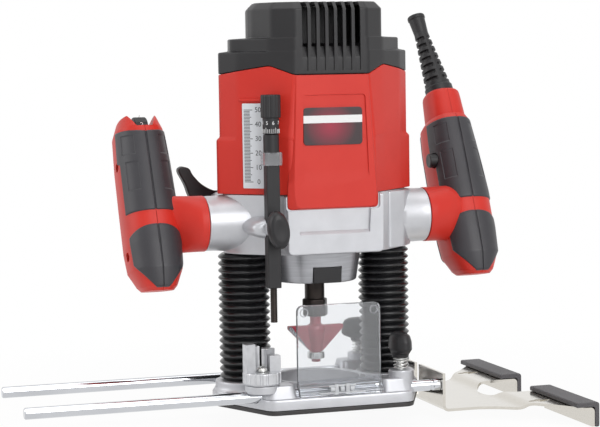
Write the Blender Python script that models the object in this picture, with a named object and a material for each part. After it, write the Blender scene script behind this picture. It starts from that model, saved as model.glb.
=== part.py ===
"""Plunge router: a motor head on two columns under bellows, with a turret depth stop and an edge guide.

Metres, +Z up, sole underside on Z = 0, seen from the front along +Y. Shapes are drawn about the spindle axis
and then parented to an empty that stands SPINDLE_BACK behind the origin, because the origin lies on the front
bar of the sole, where there is material to rest on. Sizes are written in millimetres times MM.
"""
import math

import bmesh
import bpy
from mathutils import Matrix, Vector

MM = 0.001
GAP = 0.3 * MM  # between pieces that touch on the real machine
OVERRUN = 4 * MM  # how far a cutter runs past the wall that it opens

# Base
SPINDLE_BACK = 45.5 * MM
SOLE_THICK = 3 * MM
SOLE_HOLE_R = 29 * MM
BASE_HALF_X = 76 * MM
BASE_HALF_Y = 60 * MM
BASE_FLARE = 24 * MM  # how much wider the base is at its sides than at its front
BASE_SIDE_HALF = 6 * MM
BASE_CORNER_R = 9 * MM
BASE_THICK = 7.7 * MM
BASE_BEVEL = 1.5 * MM
CUTTER_HOLE_R = 31 * MM
RING_WALL = 4.5 * MM
RING_HEIGHT = 5.5 * MM
COLUMN_INSET = 23.3 * MM  # column axis in from the base's side
COLUMN_R = 10 * MM
COLUMN_BORE_R = 7 * MM
COLUMN_LENGTH = 137 * MM
COLUMN_BOSS_R = 21.5 * MM
COLUMN_BOSS_HEIGHT = 6.5 * MM

# Bellows and springs round the columns
BELLOWS_R = 18.3 * MM
BELLOWS_ROOT_R = 15.6 * MM
BELLOWS_BORE_R = 13.9 * MM
BELLOWS_RIBS = 18
BELLOWS_LENGTH = 90 * MM
PLUNGE_WIRE_R = 0.8 * MM
PLUNGE_TURNS = 5

# Edge guide
ROD_R = 4 * MM
ROD_Y = 44.5 * MM
ROD_RISE = 0.4 * MM  # rod axis above the base rim
ROD_LENGTH = 297.7 * MM
TUNNEL_HALF = 9 * MM
TUNNEL_HEIGHT = 8.5 * MM
TUNNEL_INNER = 32 * MM
CLAMP_INSET = 27.5 * MM  # clamp axis in from the base's side
CLAMP_BOSS_R = 8.5 * MM
CLAMP_BOSS_HEIGHT = 4.9 * MM
CLAMP_STEM_R = 3 * MM
CLAMP_SPRING_R = 4.6 * MM
CLAMP_SPRING_WIRE_R = 0.5 * MM
CLAMP_SPRING_LENGTH = 8.1 * MM
CLAMP_SPRING_TURNS = 2
WING_HALF_LENGTH = 13.4 * MM
WING_HALF_WIDTH = 7.4 * MM
WING_HEIGHT = 17 * MM
SHEET = 2 * MM
FENCE_CLEARANCE = 2 * MM  # from the base's side to the fence's upright tabs
TAB_HALF = 51 * MM
TAB_RELIEF = 4 * MM
TAB_TOP = 20 * MM
FENCE_DROP = 6.5 * MM  # sheet centre below the sole
FENCE_JOGGLE = 4 * MM
FENCE_REACH = 90 * MM  # tab to lip
FENCE_HALF = 105.5 * MM
NECK_LENGTH = 21 * MM
JOGGLE_AT = 53 * MM
NOTCH_DEPTH = 39 * MM
NOTCH_HALF = 26.5 * MM
LIP_HEIGHT = 12.5 * MM
PAD_THICK = 3.4 * MM
PAD_TOP_WIDTH = 17.5 * MM
SLOT_LENGTH = 13 * MM
SLOT_HALF = 2.2 * MM

# Turret and chip guard
TURRET_INSET = 22.2 * MM  # turret axis in from the base's side
TURRET_Y = 44.5 * MM
TURRET_R = 13.5 * MM
TURRET_DISC = 8.7 * MM
POST_INNER_R = 5.5 * MM
POST_SPAN = 46  # degrees of the disc that each step of the turret takes
POSTS = ((180, 19.7 * MM), (112, 17 * MM), (52, 15 * MM), (0, 11 * MM))  # angle, height over the disc
TURRET_SCREW_R = 2 * MM
GUARD_HALF = 30.5 * MM
GUARD_Y = 50.5 * MM
GUARD_THICK = 3 * MM
GUARD_TOP = 74.5 * MM
GUARD_FOOT = 5 * MM
GUARD_FOOT_HEIGHT = 11 * MM
GUARD_HOLE_R = 2.2 * MM
GUARD_CORNER_R = 5 * MM

# Head casting, housing and cap
FRONT_Y = 45.9 * MM
HOUSING_CORNERS = (  # as X from the column axis and distance in front of the spindle
    (-25.5 * MM, FRONT_Y), (-10.6 * MM, 34.9 * MM), (7.6 * MM, 18.7 * MM), (17.7 * MM, 5.5 * MM))
CAP_CORNERS = (  # of the cap's upper two tiers
    ((-25.9 * MM, FRONT_Y), (-12.2 * MM, 31 * MM), (3.3 * MM, 18 * MM), (10.3 * MM, 10 * MM)),
    ((-26.5 * MM, FRONT_Y), (-15 * MM, 28 * MM), (-4.9 * MM, 14 * MM), (-4.2 * MM, 4 * MM)))
REAR_DRAW = 4 * MM  # how much narrower the sides run at the back
SEAM_HEIGHTS = (82.7 * MM, 89.2 * MM, 85.8 * MM, 83.4 * MM)  # cap seam over the housing's foot, by facet edge
CASTING_HEIGHT = 42.2 * MM
CASTING_INSET = 0.9 * MM
CASTING_FRONT_INSET = 2.4 * MM
NOSE_CLEARANCE = 0.9 * MM  # from the bellows
NOSE_TAPER = 3.5 * MM
NOSE_LENGTH = 22 * MM
NOSE_WALL = 5.5 * MM
FAN_WALL = 2.5 * MM  # how much narrower the fan's room is than the motor's
BUSH_WALL = 1.8 * MM
ARM_R = 19.3 * MM
ARM_Y = -3 * MM
ARM_DROP = 20.5 * MM  # arm axis below the casting's top
ARM_REACH = 29.6 * MM  # from the column axis
SPIGOT_R = 14 * MM
SPIGOT_LENGTH = 21.7 * MM
HOUSING_BAND = 2.4 * MM
HOUSING_BAND_HEIGHT = 38 * MM
HOUSING_WALL = 3.5 * MM
FRONT_WALL = 4.4 * MM
MOTOR_WALL = 1.5 * MM  # round the motor, inside the column wells and the front wall
MOTOR_BORE_HEIGHT = 71 * MM
END_PLATE = 9 * MM
FLARE = 3.8 * MM
TONGUE_INSET = 19.4 * MM  # tongue's side from the column axis
TONGUE_DROP = 10.5 * MM
TONGUE_THICK = 2.8 * MM
WELL_CLEARANCE = 1.2 * MM
PLUNGE_STROKE = 55 * MM
CAP_WALL = 2.6 * MM
CAP_SHOULDERS = (98.8 * MM, 108 * MM, 133 * MM)  # tops of the cap's three tiers over the housing's foot
CAP_TOP_BEVEL = 4 * MM
VENTS = 7
VENT_PITCH = 6.3 * MM
VENT_WIDTH = 3.6 * MM
VENT_HEIGHT = 30 * MM
VENT_RAMP = 6 * MM  # slope under each slot, out to its shallow groove
VENT_GROOVE = 7 * MM
VENT_GROOVE_DEPTH = 0.8 * MM
SCALE_PLATE = (17 * MM, 59 * MM, 0.8 * MM)
SCALE_FOOT = 4.4 * MM
NAME_PLATE = (43 * MM, 26 * MM, 0.8 * MM)
NAME_FOOT = 34 * MM
NAME_CORNER_R = 3 * MM

# Handles
HANDLE_REACH = 36.3 * MM  # handle axis from the arm's end
HANDLE_Y = 17 * MM
HANDLE_Z = 145 * MM
HANDLE_LEAN = math.radians(25)
HANDLE_BELOW = 64 * MM
HANDLE_ABOVE = 66 * MM
HANDLE_HALF_WIDTH = 20.3 * MM
HANDLE_HALF_DEPTH = 25.5 * MM
HANDLE_SIDES = 16
HANDLE_SQUARENESS = 2.4
GRIP_THICK = 2.2 * MM
BAND_LOW = -24.6 * MM
BAND_HIGH = -15.4 * MM
GRIP_TOP = 48.8 * MM
SHELL_WALL = 5.3 * MM
NECK_HALF_WIDTH = 15.5 * MM
NECK_HALF_DEPTH = 17 * MM
NECK_RISE = 11 * MM
COLLAR_R = 19.7 * MM
DIAL_R = 14 * MM
DIAL_HALF_WIDTH = 4.2 * MM
DIAL_AT = (-6 * MM, 52 * MM)
TRIGGER_HALF_WIDTH = 5.2 * MM
TRIGGER_LENGTH = 39 * MM
TRIGGER_MIDDLE = 16 * MM
TRIGGER_PROUD = 4.5 * MM
TRIGGER_DEPTH = 16 * MM
TRIGGER_TRAVEL = 5 * MM
BUTTON_R = 5.2 * MM
BUTTON_AT = (-10 * MM, 20 * MM)
BUTTON_PROUD = 3.2 * MM
BUTTON_LENGTH = 10.5 * MM
MODULE = (8.6 * MM, 11.5 * MM, 34 * MM)
MODULE_BACK = 6 * MM
GLAND_LENGTH = 65 * MM
GLAND_R = 9.6 * MM
GLAND_END_R = 6 * MM
GLAND_BORE_R = 4 * MM
GLAND_GROOVE = 1.3 * MM
GLAND_MOUTH = 1.2 * MM
GLAND_RIBS = 8
GLAND_TILT = math.radians(5.5)

# Plunge lock
LEVER_OFFSET = 7.8 * MM  # lever axis from the column axis
LEVER_Z = 141 * MM
LEVER_BOSS_R = 8 * MM
LEVER_BOSS_END = 35.7 * MM
LEVER_THICK = 8 * MM
LEVER_SCREW_R = 4 * MM
LEVER_SCREW_LENGTH = 12 * MM
LEVER_BLADE = (  # x, z and corner radius about the lever's axis
    (9 * MM, 0, 2 * MM), (6 * MM, 10 * MM, 2 * MM), (-0.5 * MM, 9.5 * MM, 3 * MM), (-12.5 * MM, 18.5 * MM, 0),
    (-24.5 * MM, 27.5 * MM, 1.5 * MM), (-28.5 * MM, 26 * MM, 1.5 * MM), (-27.5 * MM, 18 * MM, 4 * MM),
    (-24 * MM, 6 * MM, 3 * MM), (-14 * MM, -2 * MM, 5 * MM), (-4 * MM, -9 * MM, 2.5 * MM),
    (7 * MM, -8 * MM, 2.5 * MM))

# Spindle, motor and cutter
SHAFT_R = 6 * MM
SPINDLE_R = 7.1 * MM
SPINDLE_SEAT_R = 8.2 * MM
SHOULDER = 3 * MM
SHOULDER_SHARE = 0.2  # of the lower bearing's thickness that the shoulder covers
CHUCK_R = 6.3 * MM
CHUCK_BORE_R = 5.6 * MM
CHUCK_END = 62 * MM
COLLET_WALL = 1 * MM
SHANK_R = 4 * MM
NUT_FOOT = 60 * MM
NUT_HEIGHT = 12.3 * MM
NUT_R = 9.6 * MM
NUT_LIP = 1.4 * MM
COLLET_TOP_GAP = 2 * MM
BIT_TOP = 53 * MM
BIT_WING = 2.5 * MM
BIT_R = 20.4 * MM
BIT_FOOT = 34 * MM
BIT_CORE_R = 4.6 * MM
BIT_BLADE = 5 * MM
PILOT_R = 6.2 * MM
PILOT_HEIGHT = 4.6 * MM
PILOT_BOLT_R = 2.6 * MM
PILOT_BOLT_HEAD = 2.2 * MM
LOWER_BEARING_HEIGHT = 12 * MM
UPPER_BEARING_R = 11 * MM
UPPER_BEARING_HEIGHT = 7 * MM
UPPER_SEAT_R = 4 * MM
STATOR_HEIGHT = 48 * MM
STATOR_WALL = 13 * MM
STATOR_RISE = 2 * MM
AIR_GAP = 0.8 * MM
COMMUTATOR_R = 15 * MM
COMMUTATOR_HEIGHT = 16 * MM
FAN_CLEARANCE = 2 * MM
FAN_DROP = 6 * MM  # fan below the casting's top
FAN_DISC = 2.5 * MM
FAN_HEIGHT = 11 * MM
FAN_BLADES = 9
BRUSH_HALF = 5 * MM
LOCK_HALF = 10.4 * MM
LOCK_HEIGHT = 11.6 * MM
LOCK_DEPTH = 7 * MM
LOCK_TRAVEL = 3.5 * MM
LOCK_PIN_R = 2.2 * MM
LOCK_WALL = 2 * MM

# Depth stop
STOP_OFFSET = 9.3 * MM  # depth bar's axis from the turret's, over one of its posts
STOP_Y = 45 * MM
BAR_HALF_X = 5.2 * MM
BAR_HALF_Y = 4.5 * MM
BAR_FOOT = 87 * MM
BAR_LENGTH = 95 * MM
BARREL_R = 5.5 * MM
BARREL_LENGTH = 11 * MM
DIAL_NECK_R = 5.7 * MM
DIAL_NECK_LENGTH = 11 * MM
KNOB_R = 6.9 * MM
KNOB_LENGTH = 16 * MM
KNOB_FLUTES = 12
FLUTE_SHARE = 0.06  # how far a flute is cut into the knob, as a share of its radius
STOP_SCREW_R = 2.5 * MM
STOP_SCREW_LENGTH = 24 * MM
CURSOR_WALL = 0.8 * MM
CURSOR_HEIGHT = 9 * MM
GUIDE_WALL = 2.7 * MM
GUIDE_R = 12.5 * MM
GUIDE_RISE = 20 * MM  # guide boss and clamp axis above the casting's foot
DEPTH_WING_HALF_LENGTH = 13.3 * MM
DEPTH_WING_HALF_WIDTH = 8.8 * MM
DEPTH_WING_HEIGHT = 11.5 * MM

# Levels and places that follow from the sizes above
BASE_FRONT_HALF = BASE_HALF_X - BASE_FLARE
COLUMN_X = BASE_HALF_X - COLUMN_INSET
CLAMP_X = BASE_HALF_X - CLAMP_INSET
TURRET_X = BASE_HALF_X - TURRET_INSET
TAB_X = BASE_HALF_X + FENCE_CLEARANCE
STOP_X = TURRET_X - STOP_OFFSET
LEVER_X = COLUMN_X + LEVER_OFFSET
ARM_END = COLUMN_X + ARM_REACH
HANDLE_X = ARM_END + HANDLE_REACH
TIERS = [[(COLUMN_X + x, y) for x, y in corners] for corners in (HOUSING_CORNERS, *CAP_CORNERS)]
FACETS = TIERS[0]
TONGUE_HALF = COLUMN_X - TONGUE_INSET
NOSE_R = COLUMN_X - BELLOWS_R - NOSE_CLEARANCE
NOSE_END_R = NOSE_R - NOSE_TAPER
BUSH_R = COLUMN_R + GAP + BUSH_WALL
LOWER_BEARING_R = NOSE_END_R - LOCK_DEPTH - LOCK_TRAVEL - LOCK_WALL
MOTOR_BORE_R = min(COLUMN_X - COLUMN_R - WELL_CLEARANCE, FRONT_Y - FRONT_WALL) - MOTOR_WALL
STATOR_BORE_R = MOTOR_BORE_R - STATOR_WALL
FAN_ROOM_R = MOTOR_BORE_R - FAN_WALL
FAN_R = FAN_ROOM_R - FAN_CLEARANCE
BASE_FOOT = SOLE_THICK + GAP
RIM_TOP = BASE_FOOT + BASE_THICK
ROD_Z = RIM_TOP + ROD_RISE
COLUMN_BOSS_TOP = RIM_TOP + COLUMN_BOSS_HEIGHT
TUNNEL_TOP = RIM_TOP + TUNNEL_HEIGHT
CLAMP_BOSS_TOP = TUNNEL_TOP + CLAMP_BOSS_HEIGHT
BELLOWS_FOOT = COLUMN_BOSS_TOP + GAP
CASTING_FOOT = BELLOWS_FOOT + BELLOWS_LENGTH + GAP
CASTING_TOP = CASTING_FOOT + CASTING_HEIGHT
HOUSING_FOOT = CASTING_TOP + GAP
NOSE_FOOT = CASTING_FOOT - NOSE_LENGTH
ARM_Z = CASTING_TOP - ARM_DROP
STOP_TOP = BAR_FOOT + BAR_LENGTH + BARREL_LENGTH
LOWER_BEARING_FOOT = NOSE_FOOT + NOSE_WALL
END_PLATE_FOOT = HOUSING_FOOT + MOTOR_BORE_HEIGHT
STATOR_FOOT = HOUSING_FOOT + STATOR_RISE
HANDLE_FRAME = {side: Matrix.Translation((side * HANDLE_X, HANDLE_Y, HANDLE_Z))
                @ Matrix.Rotation(-HANDLE_LEAN, 4, "X") for side in (-1, 1)}
TO_X = Matrix.Rotation(math.pi / 2, 4, "Y")  # turns +Z to +X
TO_FRONT = Matrix.Rotation(math.pi / 2, 4, "X")  # turns +Z to -Y
SIDE_NAMES = {-1: "left", 1: "right"}
END_NAMES = {-1: "front", 1: "rear"}

# Colour, roughness and metallic value of each finish
FINISHES = {
    "red_plastic": ((0.62, 0.045, 0.035), 0.45, 0),
    "black_plastic": ((0.035, 0.035, 0.038), 0.55, 0),
    "grip_rubber": ((0.06, 0.06, 0.065), 0.8, 0),
    "bellows_rubber": ((0.01, 0.01, 0.011), 0.5, 0),
    "cast_aluminium": ((0.58, 0.58, 0.6), 0.4, 0.6),
    "bright_steel": ((0.7, 0.7, 0.72), 0.18, 1),
    "dark_steel": ((0.06, 0.055, 0.055), 0.4, 0.8),
    "sheet_steel": ((0.6, 0.59, 0.56), 0.25, 1),
    "clear_plastic": ((0.9, 0.92, 0.93), 0.05, 0),
    "cutter_red": ((0.36, 0.03, 0.05), 0.4, 0.1),
    "white_print": ((0.85, 0.86, 0.88), 0.4, 0),
    "copper": ((0.6, 0.3, 0.16), 0.4, 1),
}


def clear_scene():
    for obj in list(bpy.data.objects):
        bpy.data.objects.remove(obj)


def make_finishes():
    made = {}
    for name, (colour, roughness, metallic) in FINISHES.items():
        material = bpy.data.materials.new(name)
        material.use_nodes = True
        shader = material.node_tree.nodes["Principled BSDF"]
        shader.inputs["Base Color"].default_value = (*colour, 1)
        shader.inputs["Roughness"].default_value = roughness
        shader.inputs["Metallic"].default_value = metallic
        made[name] = material
    return made


def weld(mesh):
    """Merges points left on top of each other, and turns every face outwards."""
    shape = bmesh.new()
    shape.from_mesh(mesh)
    bmesh.ops.remove_doubles(shape, verts=shape.verts, dist=1e-6)
    bmesh.ops.dissolve_degenerate(shape, edges=shape.edges, dist=1e-6)
    bmesh.ops.recalc_face_normals(shape, faces=shape.faces)
    shape.to_mesh(mesh)
    shape.free()


def from_rings(name, rings, closed=False):
    """Skins rings of equal count. An open run gets flat ends; a closed one joins its last ring to the first."""
    count = len(rings[0])
    points = [tuple(point) for ring in rings for point in ring]
    faces = []
    for i in range(len(rings) if closed else len(rings) - 1):
        low, high = i * count, (i + 1) % len(rings) * count
        for j in range(count):
            k = (j + 1) % count
            faces.append((low + j, low + k, high + k, high + j))
    if not closed:
        faces.append(tuple(reversed(range(count))))
        faces.append(tuple(range(len(points) - count, len(points))))
    mesh = bpy.data.meshes.new(name)
    mesh.from_pydata(points, [], faces)
    weld(mesh)
    obj = bpy.data.objects.new(name, mesh)
    bpy.context.scene.collection.objects.link(obj)
    return obj


def circle(radius, sides, z=0.0, centre=(0.0, 0.0)):
    turn = 2 * math.pi / sides
    return [(centre[0] + radius * math.cos(i * turn), centre[1] + radius * math.sin(i * turn), z)
            for i in range(sides)]


def turned(name, profile, sides, bored=False):
    """A solid of revolution about Z from (radius, height) pairs; a bored one is a ring with an inner wall."""
    return from_rings(name, [circle(radius, sides, z) for radius, z in profile], bored)


def drum(name, radius, low, high, sides=16, place=(0, 0)):
    obj = turned(name, ((radius, low), (radius, high)), sides)
    obj.data.transform(Matrix.Translation((*place, 0)))
    return obj


def tube(name, outer, inner, low, high, sides=18, place=(0, 0)):
    obj = turned(name, ((outer, low), (outer, high), (inner, high), (inner, low)), sides, True)
    obj.data.transform(Matrix.Translation((*place, 0)))
    return obj


def prism(name, outline, low, high):
    return from_rings(name, [[(x, y, z) for x, y in outline] for z in (low, high)])


def block(name, low, high):
    return prism(name, ((low[0], low[1]), (high[0], low[1]), (high[0], high[1]), (low[0], high[1])),
                 low[2], high[2])


def moved(obj, matrix):
    obj.data.transform(matrix)
    return obj


def shifted(obj, x=0.0, y=0.0, z=0.0):
    return moved(obj, Matrix.Translation((x, y, z)))


def combine(target, operation, tools):
    """Joins the tools to the target or takes them away from it, and removes them."""
    for tool in tools:
        modifier = target.modifiers.new(operation, "BOOLEAN")
        modifier.operation = operation
        modifier.solver = "EXACT"
        modifier.object = tool
    bpy.context.view_layer.update()
    graph = bpy.context.evaluated_depsgraph_get()
    mesh = bpy.data.meshes.new_from_object(target.evaluated_get(graph))
    target.modifiers.clear()
    target.data = mesh
    weld(mesh)
    for tool in tools:
        bpy.data.objects.remove(tool)
    return target


def cut(target, *tools):
    return combine(target, "DIFFERENCE", tools)


def join(target, *tools):
    return combine(target, "UNION", tools)


def rounded(corners, steps=2):
    """A polygon from (x, y, radius) corners, each round corner an arc of the given number of steps."""
    points = []
    for i, (x, y, radius) in enumerate(corners):
        here = Vector((x, y))
        if not radius:
            points.append((x, y))
            continue
        back = (Vector(corners[i - 1][:2]) - here).normalized()
        ahead = (Vector(corners[(i + 1) % len(corners)][:2]) - here).normalized()
        half = back.angle(ahead) / 2
        centre = here + (back + ahead).normalized() * (radius / math.sin(half))
        first = here + back * (radius / math.tan(half)) - centre
        last = here + ahead * (radius / math.tan(half)) - centre
        sweep = first.angle_signed(last)
        for k in range(steps + 1):
            turn = Matrix.Rotation(-sweep * k / steps, 2)
            points.append(tuple(centre + turn @ first))
    return points


def mirrored(quarter, draw=0.0):
    """The whole outline, anticlockwise, from the corners of its front right quarter as (x, distance in front).

    The back's corners are drawn in towards the middle, most of all at the sides."""
    first, last = quarter[0][0], quarter[-1][0]
    rear = [(x - draw * (x - first) / (last - first), y) for x, y in quarter]
    right = [(x, -y) for x, y in quarter] + rear[::-1]
    return right + [(-x, y) for x, y in reversed(right)]


def tier(quarter):
    return mirrored(quarter, REAR_DRAW)


def grown(outline, amount):
    """The outline with every side moved out by the amount."""
    points = []
    for i, point in enumerate(outline):
        here = Vector(point)
        before = (here - Vector(outline[i - 1])).normalized()
        after = (Vector(outline[(i + 1) % len(outline)]) - here).normalized()
        out_before = Vector((before.y, -before.x))
        out_after = Vector((after.y, -after.x))
        points.append(tuple(here + (out_before + out_after) * (amount / (1 + out_before.dot(out_after)))))
    return points


def level(outline, z):
    return [(x, y, z) for x, y in outline]


def coil(name, radius, wire, low, high, turns, place):
    """A wire wound round Z, with ends that run straight up and down, and its least gap to itself printed."""
    per_turn = 9
    bend = 2 * wire
    run = 2 * wire + bend
    lead = math.radians(80)
    ends = [(0.0, 0.0), (0.0, 2 * wire)]
    ends += [(bend * (1 - math.cos(a)) / radius, 2 * wire + bend * math.sin(a)) for a in (lead / 2, lead)]
    first_angle = ends[-1][0] + 0.4
    last_angle = first_angle + turns * 2 * math.pi
    steps = turns * per_turn
    rise = high - low - 2 * run
    track = [(angle, low + z) for angle, z in ends]
    track += [(first_angle + (last_angle - first_angle) * i / steps, low + run + rise * i / steps)
              for i in range(steps + 1)]
    track += [(last_angle + 0.4 + ends[-1][0] - angle, high - z) for angle, z in reversed(ends)]
    points = [Vector((radius * math.cos(a), radius * math.sin(a), z)) for a, z in track]
    least = min((points[i] - points[j]).length for i in range(len(points))
                for j in range(i + per_turn // 2, len(points))) - 2 * wire
    print(f"{name}: least gap between turns {least / MM:.2f} mm")
    curve = bpy.data.curves.new(name, "CURVE")
    curve.dimensions = "3D"
    curve.bevel_depth = wire
    curve.bevel_resolution = 1
    curve.use_fill_caps = True
    spline = curve.splines.new("POLY")
    spline.points.add(len(points) - 1)
    for spot, point in zip(spline.points, points):
        spot.co = (*point, 1)
    obj = bpy.data.objects.new(name, curve)
    bpy.context.scene.collection.objects.link(obj)
    curve.transform(Matrix.Translation((*place, 0)))
    return obj


def wing_knob(name, half_length, half_width, height, stem_r, stem_length):
    """An oval knob on a round stem: stem tip at Z = 0, then a flange, then the oval head."""
    sides = 16
    foot = stem_length
    rings = [circle(stem_r, sides, 0), circle(stem_r, sides, foot)]
    rings.append(circle(half_width * 0.8, sides, foot))
    rings.append(circle(half_width * 0.86, sides, foot + height * 0.12))
    for share, reach in ((0.2, 0.78), (0.35, 1), (0.68, 0.97), (0.92, 0.82), (1, 0.62)):
        rings.append([(x * half_length * reach, y * half_width * reach, foot + height * share)
                      for x, y, _ in circle(1, sides)])
    return from_rings(name, rings)


def base_outline():
    quarter = ((BASE_FRONT_HALF, BASE_HALF_Y), (BASE_HALF_X, BASE_SIDE_HALF))
    return rounded([(x, y, BASE_CORNER_R) for x, y in mirrored(quarter)])


def slope_x(y):
    """Half-width of the base at a distance y from the middle, along its slanting side."""
    share = (y - BASE_SIDE_HALF) / (BASE_HALF_Y - BASE_SIDE_HALF)
    return BASE_HALF_X + share * (BASE_FRONT_HALF - BASE_HALF_X)


def make_sole():
    sole = prism("sole_plate", base_outline(), 0, SOLE_THICK)
    return cut(sole, drum("hole", SOLE_HOLE_R, -OVERRUN, SOLE_THICK + OVERRUN, 24))


def make_base():
    outline = base_outline()
    lip = RIM_TOP - BASE_BEVEL
    base = from_rings("base_casting", [level(outline, BASE_FOOT), level(outline, lip),
                                       level(grown(outline, -BASE_BEVEL), RIM_TOP)])
    root = RIM_TOP - 2 * BASE_BEVEL
    added = [drum("ring", CUTTER_HOLE_R + RING_WALL, root, RIM_TOP + RING_HEIGHT, 24)]
    for side in (-1, 1):
        boss = turned("boss", ((COLUMN_BOSS_R, root), (COLUMN_BOSS_R, COLUMN_BOSS_TOP - BASE_BEVEL),
                               (COLUMN_BOSS_R - BASE_BEVEL, COLUMN_BOSS_TOP)), 20)
        added.append(shifted(boss, side * COLUMN_X))
        for end in (-1, 1):
            near, far = ROD_Y - TUNNEL_HALF, ROD_Y + TUNNEL_HALF
            inset = 2 * BASE_BEVEL
            corners = ((TUNNEL_INNER, near), (slope_x(near) - inset, near), (slope_x(far) - inset, far),
                       (TUNNEL_INNER, far))
            plan = [(side * x, end * y) for x, y in corners]
            plan = plan if side * end > 0 else plan[::-1]
            added.append(from_rings("tunnel", [level(plan, root), level(plan, TUNNEL_TOP - BASE_BEVEL),
                                               level(grown(plan, -BASE_BEVEL), TUNNEL_TOP)]))
    for end in (-1, 1):
        added.append(drum("clamp_boss", CLAMP_BOSS_R, ROD_Z + ROD_R, CLAMP_BOSS_TOP, 16,
                          (CLAMP_X, end * ROD_Y)))
    added.append(drum("turret_boss", TURRET_R - BASE_BEVEL, RIM_TOP + BASE_BEVEL, TUNNEL_TOP + 2 * GAP, 18,
                      (-TURRET_X, -TURRET_Y)))
    join(base, *added)
    removed = [drum("opening", CUTTER_HOLE_R, -OVERRUN, RIM_TOP + 3 * OVERRUN, 24)]
    for side in (-1, 1):
        removed.append(drum("column_hole", COLUMN_R + GAP, -OVERRUN, COLUMN_BOSS_TOP + OVERRUN, 20,
                            (side * COLUMN_X, 0)))
    for end in (-1, 1):
        hole = drum("rod_hole", ROD_R + GAP, -2 * BASE_HALF_X, 2 * BASE_HALF_X, 16)
        removed.append(shifted(moved(hole, TO_X), 0, end * ROD_Y, ROD_Z))
        removed.append(drum("stem_hole", CLAMP_STEM_R + GAP, ROD_Z, CLAMP_BOSS_TOP + OVERRUN, 12,
                            (CLAMP_X, end * ROD_Y)))
    removed.append(drum("screw_hole", TURRET_SCREW_R + GAP, ROD_Z + ROD_R + 3 * GAP, TUNNEL_TOP + OVERRUN, 12,
                        (-TURRET_X, -TURRET_Y)))
    return cut(base, *removed)


def make_columns():
    made = []
    foot = BASE_FOOT + GAP
    for side, name in SIDE_NAMES.items():
        at = (side * COLUMN_X, 0)
        made.append(tube(f"{name}_column", COLUMN_R, COLUMN_BORE_R, foot, foot + COLUMN_LENGTH, 20, at))
        made.append(shifted(bellows(f"{name}_bellows"), *at))
        made.append(coil(f"{name}_plunge_spring", (COLUMN_R + BELLOWS_BORE_R) / 2, PLUNGE_WIRE_R,
                         BELLOWS_FOOT, BELLOWS_FOOT + BELLOWS_LENGTH, PLUNGE_TURNS, at))
    return made


def bellows(name):
    """Ribs of a tip and a root radius, with a plain bore."""
    pitch = BELLOWS_LENGTH / BELLOWS_RIBS
    top = BELLOWS_FOOT + BELLOWS_LENGTH
    profile = [(BELLOWS_ROOT_R, BELLOWS_FOOT)]
    for i in range(BELLOWS_RIBS):
        profile.append((BELLOWS_R, BELLOWS_FOOT + (i + 0.5) * pitch))
        profile.append((BELLOWS_ROOT_R, BELLOWS_FOOT + (i + 1) * pitch))
    return turned(name, profile + [(BELLOWS_BORE_R, top), (BELLOWS_BORE_R, BELLOWS_FOOT)], 14, True)


def make_turret():
    foot = TUNNEL_TOP + 3 * GAP
    disc_top = foot + TURRET_DISC
    turret = turned("turret", ((TURRET_R - BASE_BEVEL, foot), (TURRET_R, foot + BASE_BEVEL),
                               (TURRET_R, disc_top)), 18)
    posts = []
    for angle, height in POSTS:
        turns = [math.radians(angle + POST_SPAN * share) for share in (-0.5, 0, 0.5)]
        outer, inner = TURRET_R - GAP, POST_INNER_R
        plan = [(outer * math.cos(turn), outer * math.sin(turn)) for turn in turns]
        plan += [(inner * math.cos(turn), inner * math.sin(turn)) for turn in reversed(turns)]
        posts.append(prism("post", plan, disc_top - OVERRUN, disc_top + height))
    join(turret, *posts)
    cut(turret, drum("bore", TURRET_SCREW_R + GAP, foot - OVERRUN, disc_top + OVERRUN, 12))
    head = 2 * TURRET_SCREW_R
    seat = disc_top + GAP
    screw = turned("turret_screw", (
        (TURRET_SCREW_R, ROD_Z + ROD_R + 4 * GAP), (TURRET_SCREW_R, seat), (head, seat),
        (head, seat + TURRET_SCREW_R), (TURRET_SCREW_R, seat + head)), 12)
    return [shifted(obj, -TURRET_X, -TURRET_Y) for obj in (turret, screw)]


def make_guard():
    foot = RIM_TOP + GAP
    corner = GUARD_CORNER_R
    plate = prism("chip_guard", rounded([(-GUARD_HALF, foot + corner, 0), (GUARD_HALF, foot + corner, 0),
                                         (GUARD_HALF, GUARD_TOP, corner), (-GUARD_HALF, GUARD_TOP, corner)]),
                  GUARD_Y, GUARD_Y + GUARD_THICK)
    moved(plate, TO_FRONT)
    back, front = -GUARD_Y, -GUARD_Y - GUARD_THICK - GUARD_FOOT
    top = foot + GUARD_FOOT_HEIGHT
    section = ((back, foot), (front, foot), (front, foot + SHEET), (back - GUARD_THICK, top), (back, top))
    skirt = from_rings("skirt", [[(x, y, z) for y, z in section] for x in (-GUARD_HALF, GUARD_HALF)])
    join(plate, skirt)
    holes = []
    for side in (-1, 1):
        hole = moved(drum("hole", GUARD_HOLE_R, GUARD_Y - OVERRUN, GUARD_Y + 2 * OVERRUN, 12), TO_FRONT)
        holes.append(shifted(hole, side * (GUARD_HALF - corner), 0, GUARD_TOP - corner))
    return cut(plate, *holes)


def make_rod_clamps():
    made = []
    seat = CLAMP_BOSS_TOP + 2 * GAP + CLAMP_SPRING_LENGTH
    tip = ROD_Z + ROD_R + GAP
    for end, name in END_NAMES.items():
        knob = wing_knob(f"{name}_clamp_knob", WING_HALF_LENGTH, WING_HALF_WIDTH, WING_HEIGHT, CLAMP_STEM_R,
                         seat - tip)
        turn = Matrix.Rotation(math.pi / 2, 4, "Z") if end < 0 else Matrix.Identity(4)
        made.append(shifted(moved(knob, turn), CLAMP_X, end * ROD_Y, tip))
        made.append(coil(f"{name}_clamp_spring", CLAMP_SPRING_R, CLAMP_SPRING_WIRE_R, CLAMP_BOSS_TOP + GAP,
                         seat - GAP, CLAMP_SPRING_TURNS, (CLAMP_X, end * ROD_Y)))
    return made


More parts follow.
